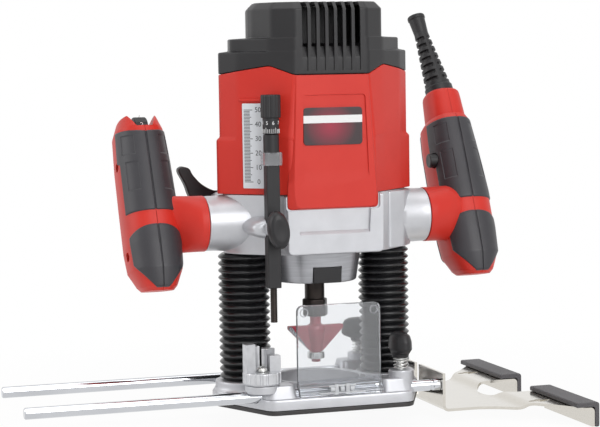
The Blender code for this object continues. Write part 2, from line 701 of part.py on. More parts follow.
def fence_half(x):
    """Half-width of the fence sheet at a distance x from its tabs: a straight neck, then a flare."""
    share = max(0.0, x - NECK_LENGTH) / (FENCE_REACH - 0.07 * FENCE_REACH - NECK_LENGTH)
    return TAB_HALF + (FENCE_HALF - TAB_HALF) * min(1.0, share ** 1.9)


def make_fence():
    low, high = -FENCE_DROP, FENCE_JOGGLE - FENCE_DROP
    ramp = FENCE_JOGGLE * 1.2
    path = [(0, TAB_TOP), (0, low), (NECK_LENGTH, low), (JOGGLE_AT, low), (JOGGLE_AT + ramp, high)]
    path += [(FENCE_REACH * share, high) for share in (0.75, 0.84, 0.93)]
    path += [(FENCE_REACH, high), (FENCE_REACH, high - LIP_HEIGHT)]
    spots = [Vector((TAB_X + SHEET / 2 + x, z)) for x, z in path]
    rings = []
    for i, spot in enumerate(spots):
        before = (spot - spots[i - 1]).normalized() if i else (spots[1] - spot).normalized()
        after = (spots[i + 1] - spot).normalized() if i + 1 < len(spots) else before
        out = (Vector((-before.y, before.x)) + Vector((-after.y, after.x)))
        out *= SHEET / 2 / (1 + before.dot(after))
        half = fence_half(path[i][0])
        rings.append([(p.x, y, p.y) for p, y in ((spot + out, -half), (spot + out, half), (spot - out, half),
                                                 (spot - out, -half))])
    sheet = from_rings("fence_plate", rings)
    end = TAB_X + SHEET + FENCE_REACH
    notch_end = end - NOTCH_DEPTH
    curve = [(notch_end + (NOTCH_DEPTH + OVERRUN) * t * t, NOTCH_HALF * t ** 0.8) for t in spread(0, 1, 5)]
    notch = prism("notch", [(x, -y) for x, y in curve] + [(x, y) for x, y in reversed(curve[1:])],
                  -6 * FENCE_DROP, TAB_TOP)
    relief = block("relief", (TAB_X - OVERRUN, -TAB_RELIEF, low + 2 * SHEET),
                   (TAB_X + SHEET + OVERRUN, TAB_RELIEF, TAB_TOP + OVERRUN))
    slots = []
    slot_y = (NOTCH_HALF + FENCE_HALF) / 2
    for side in (-1, 1):
        run = SLOT_LENGTH / 2
        plan = ((-run, -SLOT_HALF), (run, -SLOT_HALF), (run + SLOT_HALF, 0), (run, SLOT_HALF),
                (-run, SLOT_HALF), (-run - SLOT_HALF, 0))
        slot = prism("slot", plan, high - OVERRUN, high + OVERRUN)
        slots.append(shifted(slot, end - PAD_TOP_WIDTH - SLOT_LENGTH / 2, side * slot_y))
    cut(sheet, notch, relief, *slots)
    made = [sheet]
    for side, name in END_NAMES.items():
        top = high + SHEET / 2 + GAP
        face = end + GAP
        foot = high - LIP_HEIGHT - GAP
        back, front = face + PAD_THICK - PAD_TOP_WIDTH, face + PAD_THICK
        section = ((back, top), (back, top + PAD_THICK), (front, top + PAD_THICK), (front, foot), (face, foot),
                   (face, top))
        made.append(from_rings(f"{name}_fence_pad", [[(x, side * y, z) for x, z in section]
                                                     for y in (NOTCH_HALF + GAP, FENCE_HALF + GAP)]))
        start, stop, chamfer = TAB_X - GAP - ROD_LENGTH, TAB_X - GAP, BASE_BEVEL / 2
        profile = ((ROD_R - chamfer, start), (ROD_R, start + chamfer), (ROD_R, stop))
        rod = turned(f"{name}_guide_rod", profile, 16)
        made.append(shifted(moved(rod, TO_X), 0, side * ROD_Y, ROD_Z))
    return made


def casting_outline():
    outline = grown(tier(FACETS), -CASTING_INSET)
    limit = FRONT_Y - CASTING_FRONT_INSET
    return [(x, max(-limit, y)) for x, y in outline]


def arm(name, radius, start, end, side):
    tool = drum(name, radius, start, end, 20)
    turn = TO_X if side > 0 else Matrix.Rotation(-math.pi / 2, 4, "Y")
    return shifted(moved(tool, turn), 0, ARM_Y, ARM_Z)


def lock_slot(grow, depth):
    """The spindle lock's room in the nose, grown by a clearance and as deep as asked."""
    front = -NOSE_R - OVERRUN
    return block("slot", (-LOCK_HALF - grow, front, NOSE_FOOT - OVERRUN),
                 (LOCK_HALF + grow, front + OVERRUN + depth, NOSE_FOOT + LOCK_HEIGHT + grow))


def make_casting():
    outline = casting_outline()
    casting = from_rings("head_casting", [level(outline, CASTING_FOOT), level(outline, CASTING_TOP)])
    root = CASTING_FOOT + OVERRUN
    nose = turned("nose", ((NOSE_END_R, NOSE_FOOT), (NOSE_R, CASTING_FOOT), (NOSE_R, root)), 24)
    guide = drum("guide", GUIDE_R, FACETS[2][1], STOP_Y + BAR_HALF_Y + GUIDE_WALL + GAP, 20)
    shifted(moved(guide, TO_FRONT), -STOP_X, 0, depth_clamp_z())
    boss = drum("lever_boss", LEVER_BOSS_R, -LEVER_BOSS_END, 0, 16)
    shifted(moved(boss, TO_FRONT), -LEVER_X, 0, LEVER_Z)
    added = [nose, guide, boss]
    for side in (-1, 1):
        added.append(arm("arm", ARM_R, COLUMN_X, ARM_END, side))
        added.append(arm("spigot", SPIGOT_R, COLUMN_X, ARM_END + SPIGOT_LENGTH, side))
    join(casting, *added)
    bearing_room = LOWER_BEARING_FOOT + LOWER_BEARING_HEIGHT
    removed = [drum("fan_room", FAN_ROOM_R, bearing_room + 2 * OVERRUN, CASTING_TOP + OVERRUN, 24),
               drum("bearing_seat", LOWER_BEARING_R + GAP, LOWER_BEARING_FOOT - GAP, CASTING_TOP, 20),
               drum("spindle_hole", SPINDLE_SEAT_R + GAP, NOSE_FOOT - OVERRUN, CASTING_TOP, 18),
               lock_slot(GAP, NOSE_R - LOWER_BEARING_R - LOCK_WALL)]
    pin = drum("pin_hole", LOCK_PIN_R + GAP, 0, NOSE_R, 12)
    removed.append(shifted(moved(pin, TO_FRONT), 0, 0, NOSE_FOOT + LOCK_PIN_R + 2 * GAP))
    for side in (-1, 1):
        removed.append(drum("bush_hole", BUSH_R + GAP, CASTING_FOOT - OVERRUN, CASTING_TOP + OVERRUN, 20,
                            (side * COLUMN_X, 0)))
    half_x, half_y = BAR_HALF_X + GAP, BAR_HALF_Y + GAP
    removed.append(block("bar_hole", (-STOP_X - half_x, -STOP_Y - half_y, CASTING_FOOT - OVERRUN),
                         (-STOP_X + half_x, -STOP_Y + half_y, CASTING_TOP + OVERRUN)))
    stem = drum("stem_hole", CLAMP_STEM_R + GAP, STOP_Y, STOP_Y + BAR_HALF_Y + GUIDE_WALL + OVERRUN, 12)
    removed.append(shifted(moved(stem, TO_FRONT), -STOP_X, 0, depth_clamp_z()))
    screw = drum("lever_hole", LEVER_SCREW_R + GAP, -LEVER_BOSS_END - OVERRUN,
                 LEVER_SCREW_LENGTH + GAP - LEVER_BOSS_END, 12)
    removed.append(shifted(moved(screw, TO_FRONT), -LEVER_X, 0, LEVER_Z))
    return cut(casting, *removed)


def depth_clamp_z():
    return CASTING_FOOT + GUIDE_RISE


def seam_ring(lift, inset=0.0):
    """A ring along the cap's seam, which stands at its own height over each facet edge."""
    heights = list(SEAM_HEIGHTS) + list(reversed(SEAM_HEIGHTS))
    outline = grown(tier(FACETS), -inset)
    return [(x, y, HOUSING_FOOT + heights[i % len(heights)] + lift) for i, (x, y) in enumerate(outline)]


def make_housing():
    widened = list(FACETS)
    widened[0] = (FACETS[0][0] + FLARE, FACETS[0][1])
    widened[-1] = (FACETS[-1][0] + HOUSING_BAND, FACETS[-1][1])
    plain = list(widened)
    plain[-1] = FACETS[-1]
    band_top = HOUSING_FOOT + HOUSING_BAND_HEIGHT
    plate_top = END_PLATE_FOOT + END_PLATE
    inner = grown(tier(FACETS), -HOUSING_WALL)
    housing = from_rings("motor_housing", [
        level(tier(widened), HOUSING_FOOT), level(tier(widened), band_top),
        level(tier(plain), band_top + HOUSING_BAND), seam_ring(0), seam_ring(0, HOUSING_WALL),
        level(inner, plate_top)])
    front = -FRONT_Y - 4 * GAP
    tongue = block("tongue", (-TONGUE_HALF, front, HOUSING_FOOT - TONGUE_DROP),
                   (TONGUE_HALF, front + TONGUE_THICK, HOUSING_FOOT + OVERRUN))
    join(housing, tongue)
    removed = [drum("motor_bore", MOTOR_BORE_R, HOUSING_FOOT - OVERRUN, END_PLATE_FOOT, 24),
               drum("bearing_seat", UPPER_BEARING_R + GAP, END_PLATE_FOOT - OVERRUN, plate_top + OVERRUN, 18)]
    for side in (-1, 1):
        removed.append(drum("column_well", COLUMN_R + WELL_CLEARANCE, HOUSING_FOOT - OVERRUN,
                            BASE_FOOT + COLUMN_LENGTH + PLUNGE_STROKE + OVERRUN, 20, (side * COLUMN_X, 0)))
    vent_r = (MOTOR_BORE_R - UPPER_BEARING_R) / 5
    for i in range(6):
        turn = math.pi / 3 * i
        reach = (MOTOR_BORE_R + UPPER_BEARING_R) / 2
        removed.append(drum("air_hole", vent_r, END_PLATE_FOOT - OVERRUN, plate_top + OVERRUN, 12,
                            (reach * math.cos(turn), reach * math.sin(turn))))
    return cut(housing, *removed)


def make_cap():
    tops = [HOUSING_FOOT + height for height in CAP_SHOULDERS]
    outer = [seam_ring(GAP), level(tier(FACETS), tops[0])]
    inner = [seam_ring(GAP, CAP_WALL), level(grown(tier(FACETS), -CAP_WALL), tops[0] - CAP_WALL)]
    for i in (1, 2):
        outline = tier(TIERS[i])
        step = CAP_WALL / 4
        top = tops[i] - (CAP_TOP_BEVEL if i == 2 else 0)
        outer += [level(outline, tops[i - 1] + step), level(outline, top)]
        inner += [level(grown(outline, -CAP_WALL), tops[i - 1] + step - CAP_WALL),
                  level(grown(outline, -CAP_WALL), tops[i] - CAP_WALL)]
    outer.append(level(grown(tier(TIERS[2]), -CAP_TOP_BEVEL), tops[2]))
    cap = from_rings("top_cap", list(reversed(inner)) + outer)
    high = tops[2] - CAP_WALL - CAP_TOP_BEVEL / 2
    foot = high - VENT_HEIGHT
    ramp = foot - VENT_RAMP
    clear, inside, groove = FRONT_Y + OVERRUN, FRONT_Y - CAP_WALL - OVERRUN / 4, FRONT_Y - VENT_GROOVE_DEPTH
    section = ((clear, high), (inside, high), (inside, foot), (groove, ramp), (groove, ramp - VENT_GROOVE),
               (clear, ramp - VENT_GROOVE))
    slots = []
    for end in (-1, 1):
        for i in range(VENTS):
            x = (i - (VENTS - 1) / 2) * VENT_PITCH
            slots.append(from_rings("vent", [[(x + side * VENT_WIDTH / 2, end * y, z) for y, z in section]
                                             for side in (-1, 1)]))
    return cut(cap, *slots)


def make_plates():
    width, height, thick = SCALE_PLATE
    (x0, y0), (x1, y1) = FACETS[1:3]
    out = Vector((-(y0 - y1), -(x1 - x0), 0)).normalized()
    along = Vector((-(x1 - x0), y0 - y1, 0)).normalized()
    middle = Vector((-(x0 + x1) / 2, -(y0 + y1) / 2, HOUSING_FOOT + SCALE_FOOT)) + out * GAP
    scale = block("scale_plate", (-width / 2, 0, 0), (width / 2, thick, height))
    moved(scale, Matrix.Translation(middle) @ Matrix(((along.x, out.x, 0, 0), (along.y, out.y, 0, 0),
                                                      (0, 0, 1, 0), (0, 0, 0, 1))))
    width, height, thick = NAME_PLATE
    half, foot = width / 2, HOUSING_FOOT + NAME_FOOT
    corners = ((-half, foot), (half, foot), (half, foot + height), (-half, foot + height))
    name = prism("name_plate", rounded([(x, y, NAME_CORNER_R) for x, y in corners]), 0, thick)
    return [scale, shifted(moved(name, TO_FRONT), 0, -FRONT_Y - GAP)]


def handle_share(s):
    """How full the handle is at a height s along its axis: near 1 over most of it, with rounded ends."""
    u = (2 * s + HANDLE_BELOW - HANDLE_ABOVE) / (HANDLE_BELOW + HANDLE_ABOVE)
    return max(1 - abs(u) ** 5, 0.05) ** 0.4


def handle_ring(s, inset, width=HANDLE_HALF_WIDTH, depth=HANDLE_HALF_DEPTH, share=None):
    """A section of the handle, between an ellipse and a rectangle, drawn in by an inset."""
    full = handle_share(s) if share is None else share
    ring = []
    for x, y, _ in circle(1, HANDLE_SIDES):
        power = 2 / HANDLE_SQUARENESS
        ring.append((math.copysign(abs(x) ** power, x) * (width * full - inset),
                     math.copysign(abs(y) ** power, y) * (depth * full - inset), s))
    return ring


def spread(low, high, count):
    return [low + (high - low) * i / (count - 1) for i in range(count)]


def cup_heights(low):
    """Heights from the handle's foot to its red band, closer together where the end is rounded."""
    return [low + (BAND_LOW - low) * (i / 5) ** 1.7 for i in range(6)]


def handle_core():
    """The shells' outer form, sunk under the grips by their thickness."""
    sunk = GRIP_THICK + GAP
    heights = cup_heights(GRIP_THICK - HANDLE_BELOW)
    rings = [handle_ring(heights[0] + GAP, sunk, share=handle_share(heights[0]))]
    rings += [handle_ring(s, sunk) for s in heights[1:]]
    rings += [handle_ring(s, 0) for s in (BAND_LOW, BAND_HIGH)]
    rings += [handle_ring(s, sunk) for s in spread(BAND_HIGH, GRIP_TOP, 5)]
    rings += [handle_ring(s, 0) for s in spread(GRIP_TOP, HANDLE_ABOVE - GAP, 5)]
    return from_rings("core", rings)


def handle_room():
    """The hollow inside both shells."""
    inset = GRIP_THICK + GAP + SHELL_WALL
    low, high = BAND_LOW - 0.5 * HANDLE_HALF_WIDTH, GRIP_TOP - 0.3 * HANDLE_HALF_WIDTH
    return from_rings("room", [handle_ring(s, inset) for s in spread(low, high, 5)])


def grip_sleeve(name):
    low, high = BAND_HIGH + GAP, GRIP_TOP - GAP
    heights = spread(low, high, 5)
    outer = [handle_ring(s, 0) for s in heights]
    return from_rings(name, outer + [handle_ring(s, GRIP_THICK) for s in reversed(heights)], True)


def grip_cup(name):
    top = BAND_LOW - GAP
    inside = cup_heights(GRIP_THICK - HANDLE_BELOW)[:-1] + [top]
    outside = [top] + cup_heights(-HANDLE_BELOW)[-2::-1]
    rings = [handle_ring(s, GRIP_THICK) for s in inside]
    return from_rings(name, rings + [handle_ring(s, 0) for s in outside])


def dial_room():
    x, y = DIAL_HALF_WIDTH + GAP, DIAL_R + 2 * GAP
    return block("dial_room", (-x, DIAL_AT[0] - y, DIAL_AT[1] - y),
                 (x, DIAL_AT[0] + y, HANDLE_ABOVE + OVERRUN))


def trigger_room():
    x, half = TRIGGER_HALF_WIDTH + 2 * GAP, TRIGGER_LENGTH / 2 + 2 * GAP
    inner = HANDLE_HALF_DEPTH + TRIGGER_PROUD - TRIGGER_DEPTH - TRIGGER_TRAVEL - GAP
    return block("trigger_room", (-x, inner, TRIGGER_MIDDLE - half),
                 (x, HANDLE_HALF_DEPTH + 2 * OVERRUN, TRIGGER_MIDDLE + half))


def button_hole():
    hole = drum("button_hole", BUTTON_R + 2 * GAP, 0, HANDLE_HALF_WIDTH + OVERRUN, 16)
    return shifted(moved(hole, Matrix.Rotation(-math.pi / 2, 4, "Y")), 0, *BUTTON_AT)


def neck(name):
    """The right handle's top, drawn in to carry the cord gland."""
    low, high = GRIP_TOP + OVERRUN / 2, HANDLE_ABOVE + NECK_RISE
    sizes = ((low, 1.0), (high - 2 * OVERRUN, 1.0), (high - OVERRUN / 2, 0.86), (high, 0.72))
    return from_rings(name, [handle_ring(s, 0, NECK_HALF_WIDTH, NECK_HALF_DEPTH, share)
                             for s, share in sizes])


def half_space(seam, side):
    """A box that takes in all of a handle on one side of its seam, measured along X."""
    far = seam + side * 4 * HANDLE_HALF_WIDTH
    low, high = sorted((seam, far))
    return block("half", (low, -2 * HANDLE_BELOW, -2 * HANDLE_BELOW),
                 (high, 2 * HANDLE_BELOW, 3 * HANDLE_BELOW))


def make_handle(side):
    """Two shells split front to back, two grips and what sits in them. Drawn in the handle's own frame."""
    name = SIDE_NAMES[side]
    frame = HANDLE_FRAME[side]
    to_local = frame.inverted()
    made = []
    for where, away in (("inner", -side), ("outer", side)):
        shell = handle_core()
        shell.name = f"{name}_handle_{where}"
        if side > 0:
            join(shell, neck("neck"))
        tools = [handle_room(), dial_room() if side < 0 else trigger_room()]
        tools.append(half_space(away * GAP / 2, -away))
        if where == "inner":
            join(shell, moved(arm("collar", COLLAR_R, ARM_END + GAP, HANDLE_X - GRIP_THICK, side), to_local))
            bore_end = HANDLE_X - HANDLE_HALF_WIDTH + 2 * SHELL_WALL
            tools.append(moved(arm("bore", SPIGOT_R + GAP, ARM_END - OVERRUN, bore_end, side), to_local))
            if side > 0:
                tools.append(button_hole())
        made.append(cut(shell, *tools))
    grips = [grip_sleeve(f"{name}_upper_grip"), grip_cup(f"{name}_lower_grip")]
    for grip in grips:
        room = arm("collar", COLLAR_R + GAP, ARM_END - OVERRUN, HANDLE_X - GRIP_THICK, side)
        cut(grip, moved(room, to_local))
    if side > 0:
        cut(grips[0], trigger_room(), button_hole())
    made += grips
    half_x, half_y, length = MODULE
    low = TRIGGER_MIDDLE - length / 2 if side > 0 else BAND_LOW
    centre_y = -(HANDLE_HALF_DEPTH - GRIP_THICK - SHELL_WALL) * 0.74 + half_y + GAP
    made.append(block("switch_module" if side > 0 else "speed_module", (-half_x, centre_y - half_y, low),
                      (half_x, min(centre_y + half_y, MODULE_BACK), low + length)))
    made += right_controls() if side > 0 else [speed_dial()]
    return [moved(obj, frame) for obj in made]


def speed_dial():
    dial = turned("speed_dial", ((DIAL_R - GAP, -DIAL_HALF_WIDTH), (DIAL_R, GAP - DIAL_HALF_WIDTH),
                                 (DIAL_R, DIAL_HALF_WIDTH - GAP), (DIAL_R - GAP, DIAL_HALF_WIDTH)), 20)
    return shifted(moved(dial, TO_X), 0, *DIAL_AT)


def right_controls():
    back = HANDLE_HALF_DEPTH + TRIGGER_PROUD
    half = TRIGGER_LENGTH / 2
    soft = TRIGGER_PROUD * 0.8
    outline = rounded([(back - TRIGGER_DEPTH, -half, 0), (back - 0.6 * soft, -half, soft / 2), (back, 0, 0),
                       (back - 0.6 * soft, half, soft / 2), (back - TRIGGER_DEPTH, half, 0)])
    trigger = from_rings("trigger", [[(x, y, TRIGGER_MIDDLE + z) for y, z in outline]
                                     for x in (-TRIGGER_HALF_WIDTH, TRIGGER_HALF_WIDTH)])
    tip = HANDLE_HALF_WIDTH + BUTTON_PROUD
    button = turned("lock_button", ((BUTTON_R, tip - BUTTON_LENGTH), (BUTTON_R, tip - 2 * GAP),
                                    (BUTTON_R - 2 * GAP, tip)), 16)
    shifted(moved(button, Matrix.Rotation(-math.pi / 2, 4, "Y")), 0, *BUTTON_AT)
    foot = HANDLE_ABOVE + NECK_RISE + GLAND_R * math.tan(GLAND_TILT) + GAP
    gland = moved(cord_gland(), Matrix.Translation((0, 0, foot)) @ Matrix.Rotation(-GLAND_TILT, 4, "Y"))
    return [trigger, button, gland]


def cord_gland():
    """A ribbed, tapering boot with the cord's bore, and a flared mouth."""
    rib_low, rib_high = 0.12 * GLAND_LENGTH, 0.74 * GLAND_LENGTH
    pitch = (rib_high - rib_low) / GLAND_RIBS
    profile = [(GLAND_R, 0), (GLAND_R, 0.07 * GLAND_LENGTH)]
    for i in range(GLAND_RIBS):
        radius = GLAND_R + (GLAND_END_R - GLAND_R) * (i + 0.5) / GLAND_RIBS
        profile.append((radius - GLAND_GROOVE, rib_low + i * pitch))
        profile.append((radius, rib_low + (i + 0.5) * pitch))
    mouth = GLAND_END_R + GLAND_MOUTH
    profile += [(GLAND_END_R - GLAND_GROOVE, rib_high), (GLAND_END_R - GLAND_GROOVE / 2, 0.92 * GLAND_LENGTH),
                (mouth, 0.96 * GLAND_LENGTH), (mouth, GLAND_LENGTH)]
    return turned("cord_gland", profile + [(GLAND_BORE_R, GLAND_LENGTH), (GLAND_BORE_R, 0)], 14, True)


def make_lever():
    """A thumb blade on a hub behind the left arm, with its clamp screw reaching into the casting."""
    face = -LEVER_BOSS_END - GAP
    lever = prism("lock_lever", rounded(LEVER_BLADE), face - LEVER_THICK, face)
    screw = drum("screw", LEVER_SCREW_R, face - LEVER_THICK / 2, LEVER_SCREW_LENGTH - LEVER_BOSS_END, 12)
    join(lever, screw)
    return shifted(moved(lever, TO_FRONT), -LEVER_X, 0, LEVER_Z)


def make_motor():
    core_low = STATOR_FOOT
    core_high = STATOR_FOOT + STATOR_HEIGHT
    made = [tube("stator", MOTOR_BORE_R - GAP, STATOR_BORE_R, core_low, core_high, 24),
            tube("armature_core", STATOR_BORE_R - AIR_GAP, SHAFT_R + GAP, core_low, core_high, 18)]
    commutator_top = END_PLATE_FOOT - GAP - STATOR_RISE
    commutator_low = commutator_top - COMMUTATOR_HEIGHT
    made.append(tube("commutator", COMMUTATOR_R, SHAFT_R + GAP, commutator_low, commutator_top, 18))
    bearing_low = END_PLATE_FOOT + GAP
    bearing_top = bearing_low + UPPER_BEARING_HEIGHT
    made.append(tube("upper_bearing", UPPER_BEARING_R, UPPER_SEAT_R + GAP, bearing_low, bearing_top, 18))
    made.append(tube("lower_bearing", LOWER_BEARING_R, SPINDLE_SEAT_R + GAP, LOWER_BEARING_FOOT,
                     LOWER_BEARING_FOOT + LOWER_BEARING_HEIGHT, 20))
    shoulder = LOWER_BEARING_FOOT + LOWER_BEARING_HEIGHT + GAP
    nut_top = NUT_FOOT + NUT_HEIGHT
    shoulder_top = shoulder + SHOULDER
    shoulder_r = SPINDLE_SEAT_R + SHOULDER_SHARE * (LOWER_BEARING_R - SPINDLE_SEAT_R)
    step = END_PLATE_FOOT - 2 * GAP
    shaft = turned("spindle_shaft", (
        (CHUCK_R, CHUCK_END), (CHUCK_R, nut_top + GAP), (SPINDLE_R, nut_top + GAP),
        (SPINDLE_R, NOSE_FOOT + GAP), (SPINDLE_SEAT_R, NOSE_FOOT + GAP), (SPINDLE_SEAT_R, shoulder),
        (shoulder_r, shoulder), (shoulder_r, shoulder_top), (SHAFT_R, shoulder_top), (SHAFT_R, step),
        (UPPER_SEAT_R, step), (UPPER_SEAT_R, bearing_top)), 18)
    cut(shaft, drum("collet_bore", CHUCK_BORE_R, CHUCK_END - OVERRUN, NOSE_FOOT, 18))
    made.append(shaft)
    made.append(make_fan(CASTING_TOP - FAN_HEIGHT - FAN_DROP))
    for end, name in END_NAMES.items():
        near, far = sorted((end * (COMMUTATOR_R + GAP), end * (MOTOR_BORE_R - 4 * GAP)))
        middle = commutator_top - COMMUTATOR_HEIGHT / 2
        made.append(block(f"{name}_brush_holder", (-BRUSH_HALF, near, middle - BRUSH_HALF * 1.4),
                          (BRUSH_HALF, far, middle + BRUSH_HALF * 1.4)))
    for side, name in SIDE_NAMES.items():
        made.append(tube(f"{name}_column_bush", BUSH_R, COLUMN_R + GAP, CASTING_FOOT + 3 * GAP,
                         CASTING_TOP - 3 * GAP, 20, (side * COLUMN_X, 0)))
    return made


def make_fan(low):
    """A hub and a disc with straight blades on its upper face."""
    disc, top, hub = FAN_DISC, low + FAN_HEIGHT, 2 * SHAFT_R
    fan = turned("cooling_fan", ((FAN_R, low), (FAN_R, low + disc), (hub, low + disc), (hub, top)), 27)
    blades = []
    for i in range(FAN_BLADES):
        blade = block("blade", (1.7 * SHAFT_R, -disc / 4, low + disc / 2), (FAN_R - disc, disc / 4, top - GAP))
        blades.append(moved(blade, Matrix.Rotation(2 * math.pi * (i + 0.25) / FAN_BLADES, 4, "Z")))
    join(fan, *blades)
    return cut(fan, drum("bore", SHAFT_R + GAP, low - OVERRUN, low + FAN_HEIGHT + OVERRUN, 18))


def make_cutter():
    lip = NUT_LIP
    nut_top = NUT_FOOT + NUT_HEIGHT
    end_r = 0.93 * NUT_R
    nut = turned("collet_nut", ((end_r, NUT_FOOT), (NUT_R, NUT_FOOT + lip / 2), (NUT_R, nut_top - lip / 2),
                                (end_r, nut_top)), 6)
    cut(nut, drum("thread", CHUCK_R + GAP, NUT_FOOT + lip, nut_top + OVERRUN, 18),
        drum("mouth", SHANK_R + 2 * GAP, NUT_FOOT - OVERRUN, NUT_FOOT + 2 * lip, 18))
    collet_low = NUT_FOOT + lip + GAP
    collet_high = NOSE_FOOT - COLLET_TOP_GAP
    collet = tube("collet", SHANK_R + GAP + COLLET_WALL, SHANK_R + GAP, collet_low, collet_high, 18)
    bolt_low = BIT_FOOT - PILOT_HEIGHT - 2 * GAP
    head_r = 1.25 * PILOT_BOLT_R
    shoulder = BIT_TOP - BIT_WING
    bit = turned("router_bit", (
        (head_r, bolt_low - PILOT_BOLT_HEAD), (head_r, bolt_low), (PILOT_BOLT_R, bolt_low),
        (PILOT_BOLT_R, BIT_FOOT), (BIT_CORE_R, BIT_FOOT), (BIT_CORE_R * 1.5, shoulder),
        (BIT_CORE_R * 1.3, BIT_TOP), (SHANK_R, BIT_TOP + BIT_WING / 2), (SHANK_R, collet_high - GAP)), 16)
    half = [(BIT_R, BIT_TOP), (BIT_R, shoulder), (BIT_CORE_R, BIT_FOOT + GAP)]
    wing = half + [(-x, z) for x, z in reversed(half)]
    join(bit, moved(prism("wings", wing, -BIT_BLADE / 2, BIT_BLADE / 2), TO_FRONT))
    pilot_top = BIT_FOOT - GAP
    pilot = tube("pilot_bearing", PILOT_R, PILOT_BOLT_R + GAP, pilot_top - PILOT_HEIGHT, pilot_top, 16)
    return [nut, collet, bit, pilot]


def make_spindle_lock():
    """A block flush with the nose's front, with a pin that reaches towards the spindle."""
    front = -NOSE_END_R - GAP
    back = front + LOCK_DEPTH
    button = block("spindle_lock_button", (-LOCK_HALF, front, NOSE_FOOT + GAP),
                   (LOCK_HALF, back, NOSE_FOOT + LOCK_HEIGHT))
    pin = drum("pin", LOCK_PIN_R, SPINDLE_SEAT_R + LOCK_TRAVEL + 2 * GAP, NOSE_END_R - LOCK_DEPTH / 2, 12)
    return join(button, shifted(moved(pin, TO_FRONT), 0, 0, NOSE_FOOT + LOCK_PIN_R + 2 * GAP))


def make_depth_stop():
    bar_top = BAR_FOOT + BAR_LENGTH
    bar = block("depth_bar", (-BAR_HALF_X, -BAR_HALF_Y, BAR_FOOT), (BAR_HALF_X, BAR_HALF_Y, bar_top))
    join(bar, drum("barrel", BARREL_R, bar_top - 3 * GAP, STOP_TOP, 16))
    cut(bar, drum("bore", STOP_SCREW_R + GAP, BAR_FOOT - OVERRUN, STOP_TOP + OVERRUN, 12))
    foot = STOP_TOP + GAP
    rings = [circle(STOP_SCREW_R, 2 * KNOB_FLUTES, z) for z in (BAR_FOOT - STOP_SCREW_LENGTH, foot)]
    rings += [circle(DIAL_NECK_R, 2 * KNOB_FLUTES, z) for z in (foot, foot + DIAL_NECK_LENGTH)]
    for share, rise in ((1, 0), (1, 0.9 * KNOB_LENGTH), (0.85, KNOB_LENGTH)):
        ring = circle(KNOB_R * share, 2 * KNOB_FLUTES, foot + DIAL_NECK_LENGTH + rise)
        shares = (1, 1 - FLUTE_SHARE) * KNOB_FLUTES
        rings.append([(x * flute, y * flute, z) for flute, (x, y, z) in zip(shares, ring)])
    knob = from_rings("depth_knob", rings)
    cursor_top = bar_top - 4 * GAP
    reach_x, reach_y = BAR_HALF_X + CURSOR_WALL + GAP, BAR_HALF_Y + CURSOR_WALL + GAP
    cursor = block("depth_cursor", (-reach_x, -reach_y, cursor_top - CURSOR_HEIGHT),
                   (reach_x, reach_y, cursor_top))
    cut(cursor, block("hole", (-BAR_HALF_X - GAP, -BAR_HALF_Y - GAP, BAR_FOOT),
                      (BAR_HALF_X + GAP, BAR_HALF_Y + GAP, STOP_TOP)))
    stem = GUIDE_WALL + 2 * GAP
    clamp = wing_knob("depth_clamp_knob", DEPTH_WING_HALF_LENGTH, DEPTH_WING_HALF_WIDTH, DEPTH_WING_HEIGHT,
                      CLAMP_STEM_R, stem)
    upright = Matrix.Rotation(math.pi / 2, 4, "Z")
    moved(clamp, Matrix.Translation((0, -BAR_HALF_Y - GAP, depth_clamp_z())) @ TO_FRONT @ upright)
    return [shifted(obj, -STOP_X, -STOP_Y) for obj in (bar, knob, cursor, clamp)]


FINISH_OF = {
    "sole_plate": "black_plastic", "turret_screw": "bright_steel", "chip_guard": "clear_plastic",
    "motor_housing": "red_plastic", "scale_plate": "white_print", "name_plate": "dark_steel",
    "fence_plate": "sheet_steel", "router_bit": "cutter_red", "collet": "bright_steel",
    "pilot_bearing": "bright_steel", "depth_cursor": "clear_plastic", "commutator": "copper",
}
FINISH_WORDS = (("bellows", "bellows_rubber"), ("grip", "grip_rubber"), ("handle", "red_plastic"),
                ("casting", "cast_aluminium"), ("turret", "cast_aluminium"), ("column_bush", "copper"),
                ("column", "bright_steel"), ("spring", "bright_steel"), ("rod", "bright_steel"),
                ("bearing", "bright_steel"), ("shaft", "dark_steel"), ("nut", "dark_steel"),
                ("screw", "dark_steel"), ("stator", "dark_steel"), ("armature", "copper"))


def finish_name(node):
    named = [finish for word, finish in FINISH_WORDS if word in node]
    return FINISH_OF.get(node, (named + ["black_plastic"])[0])


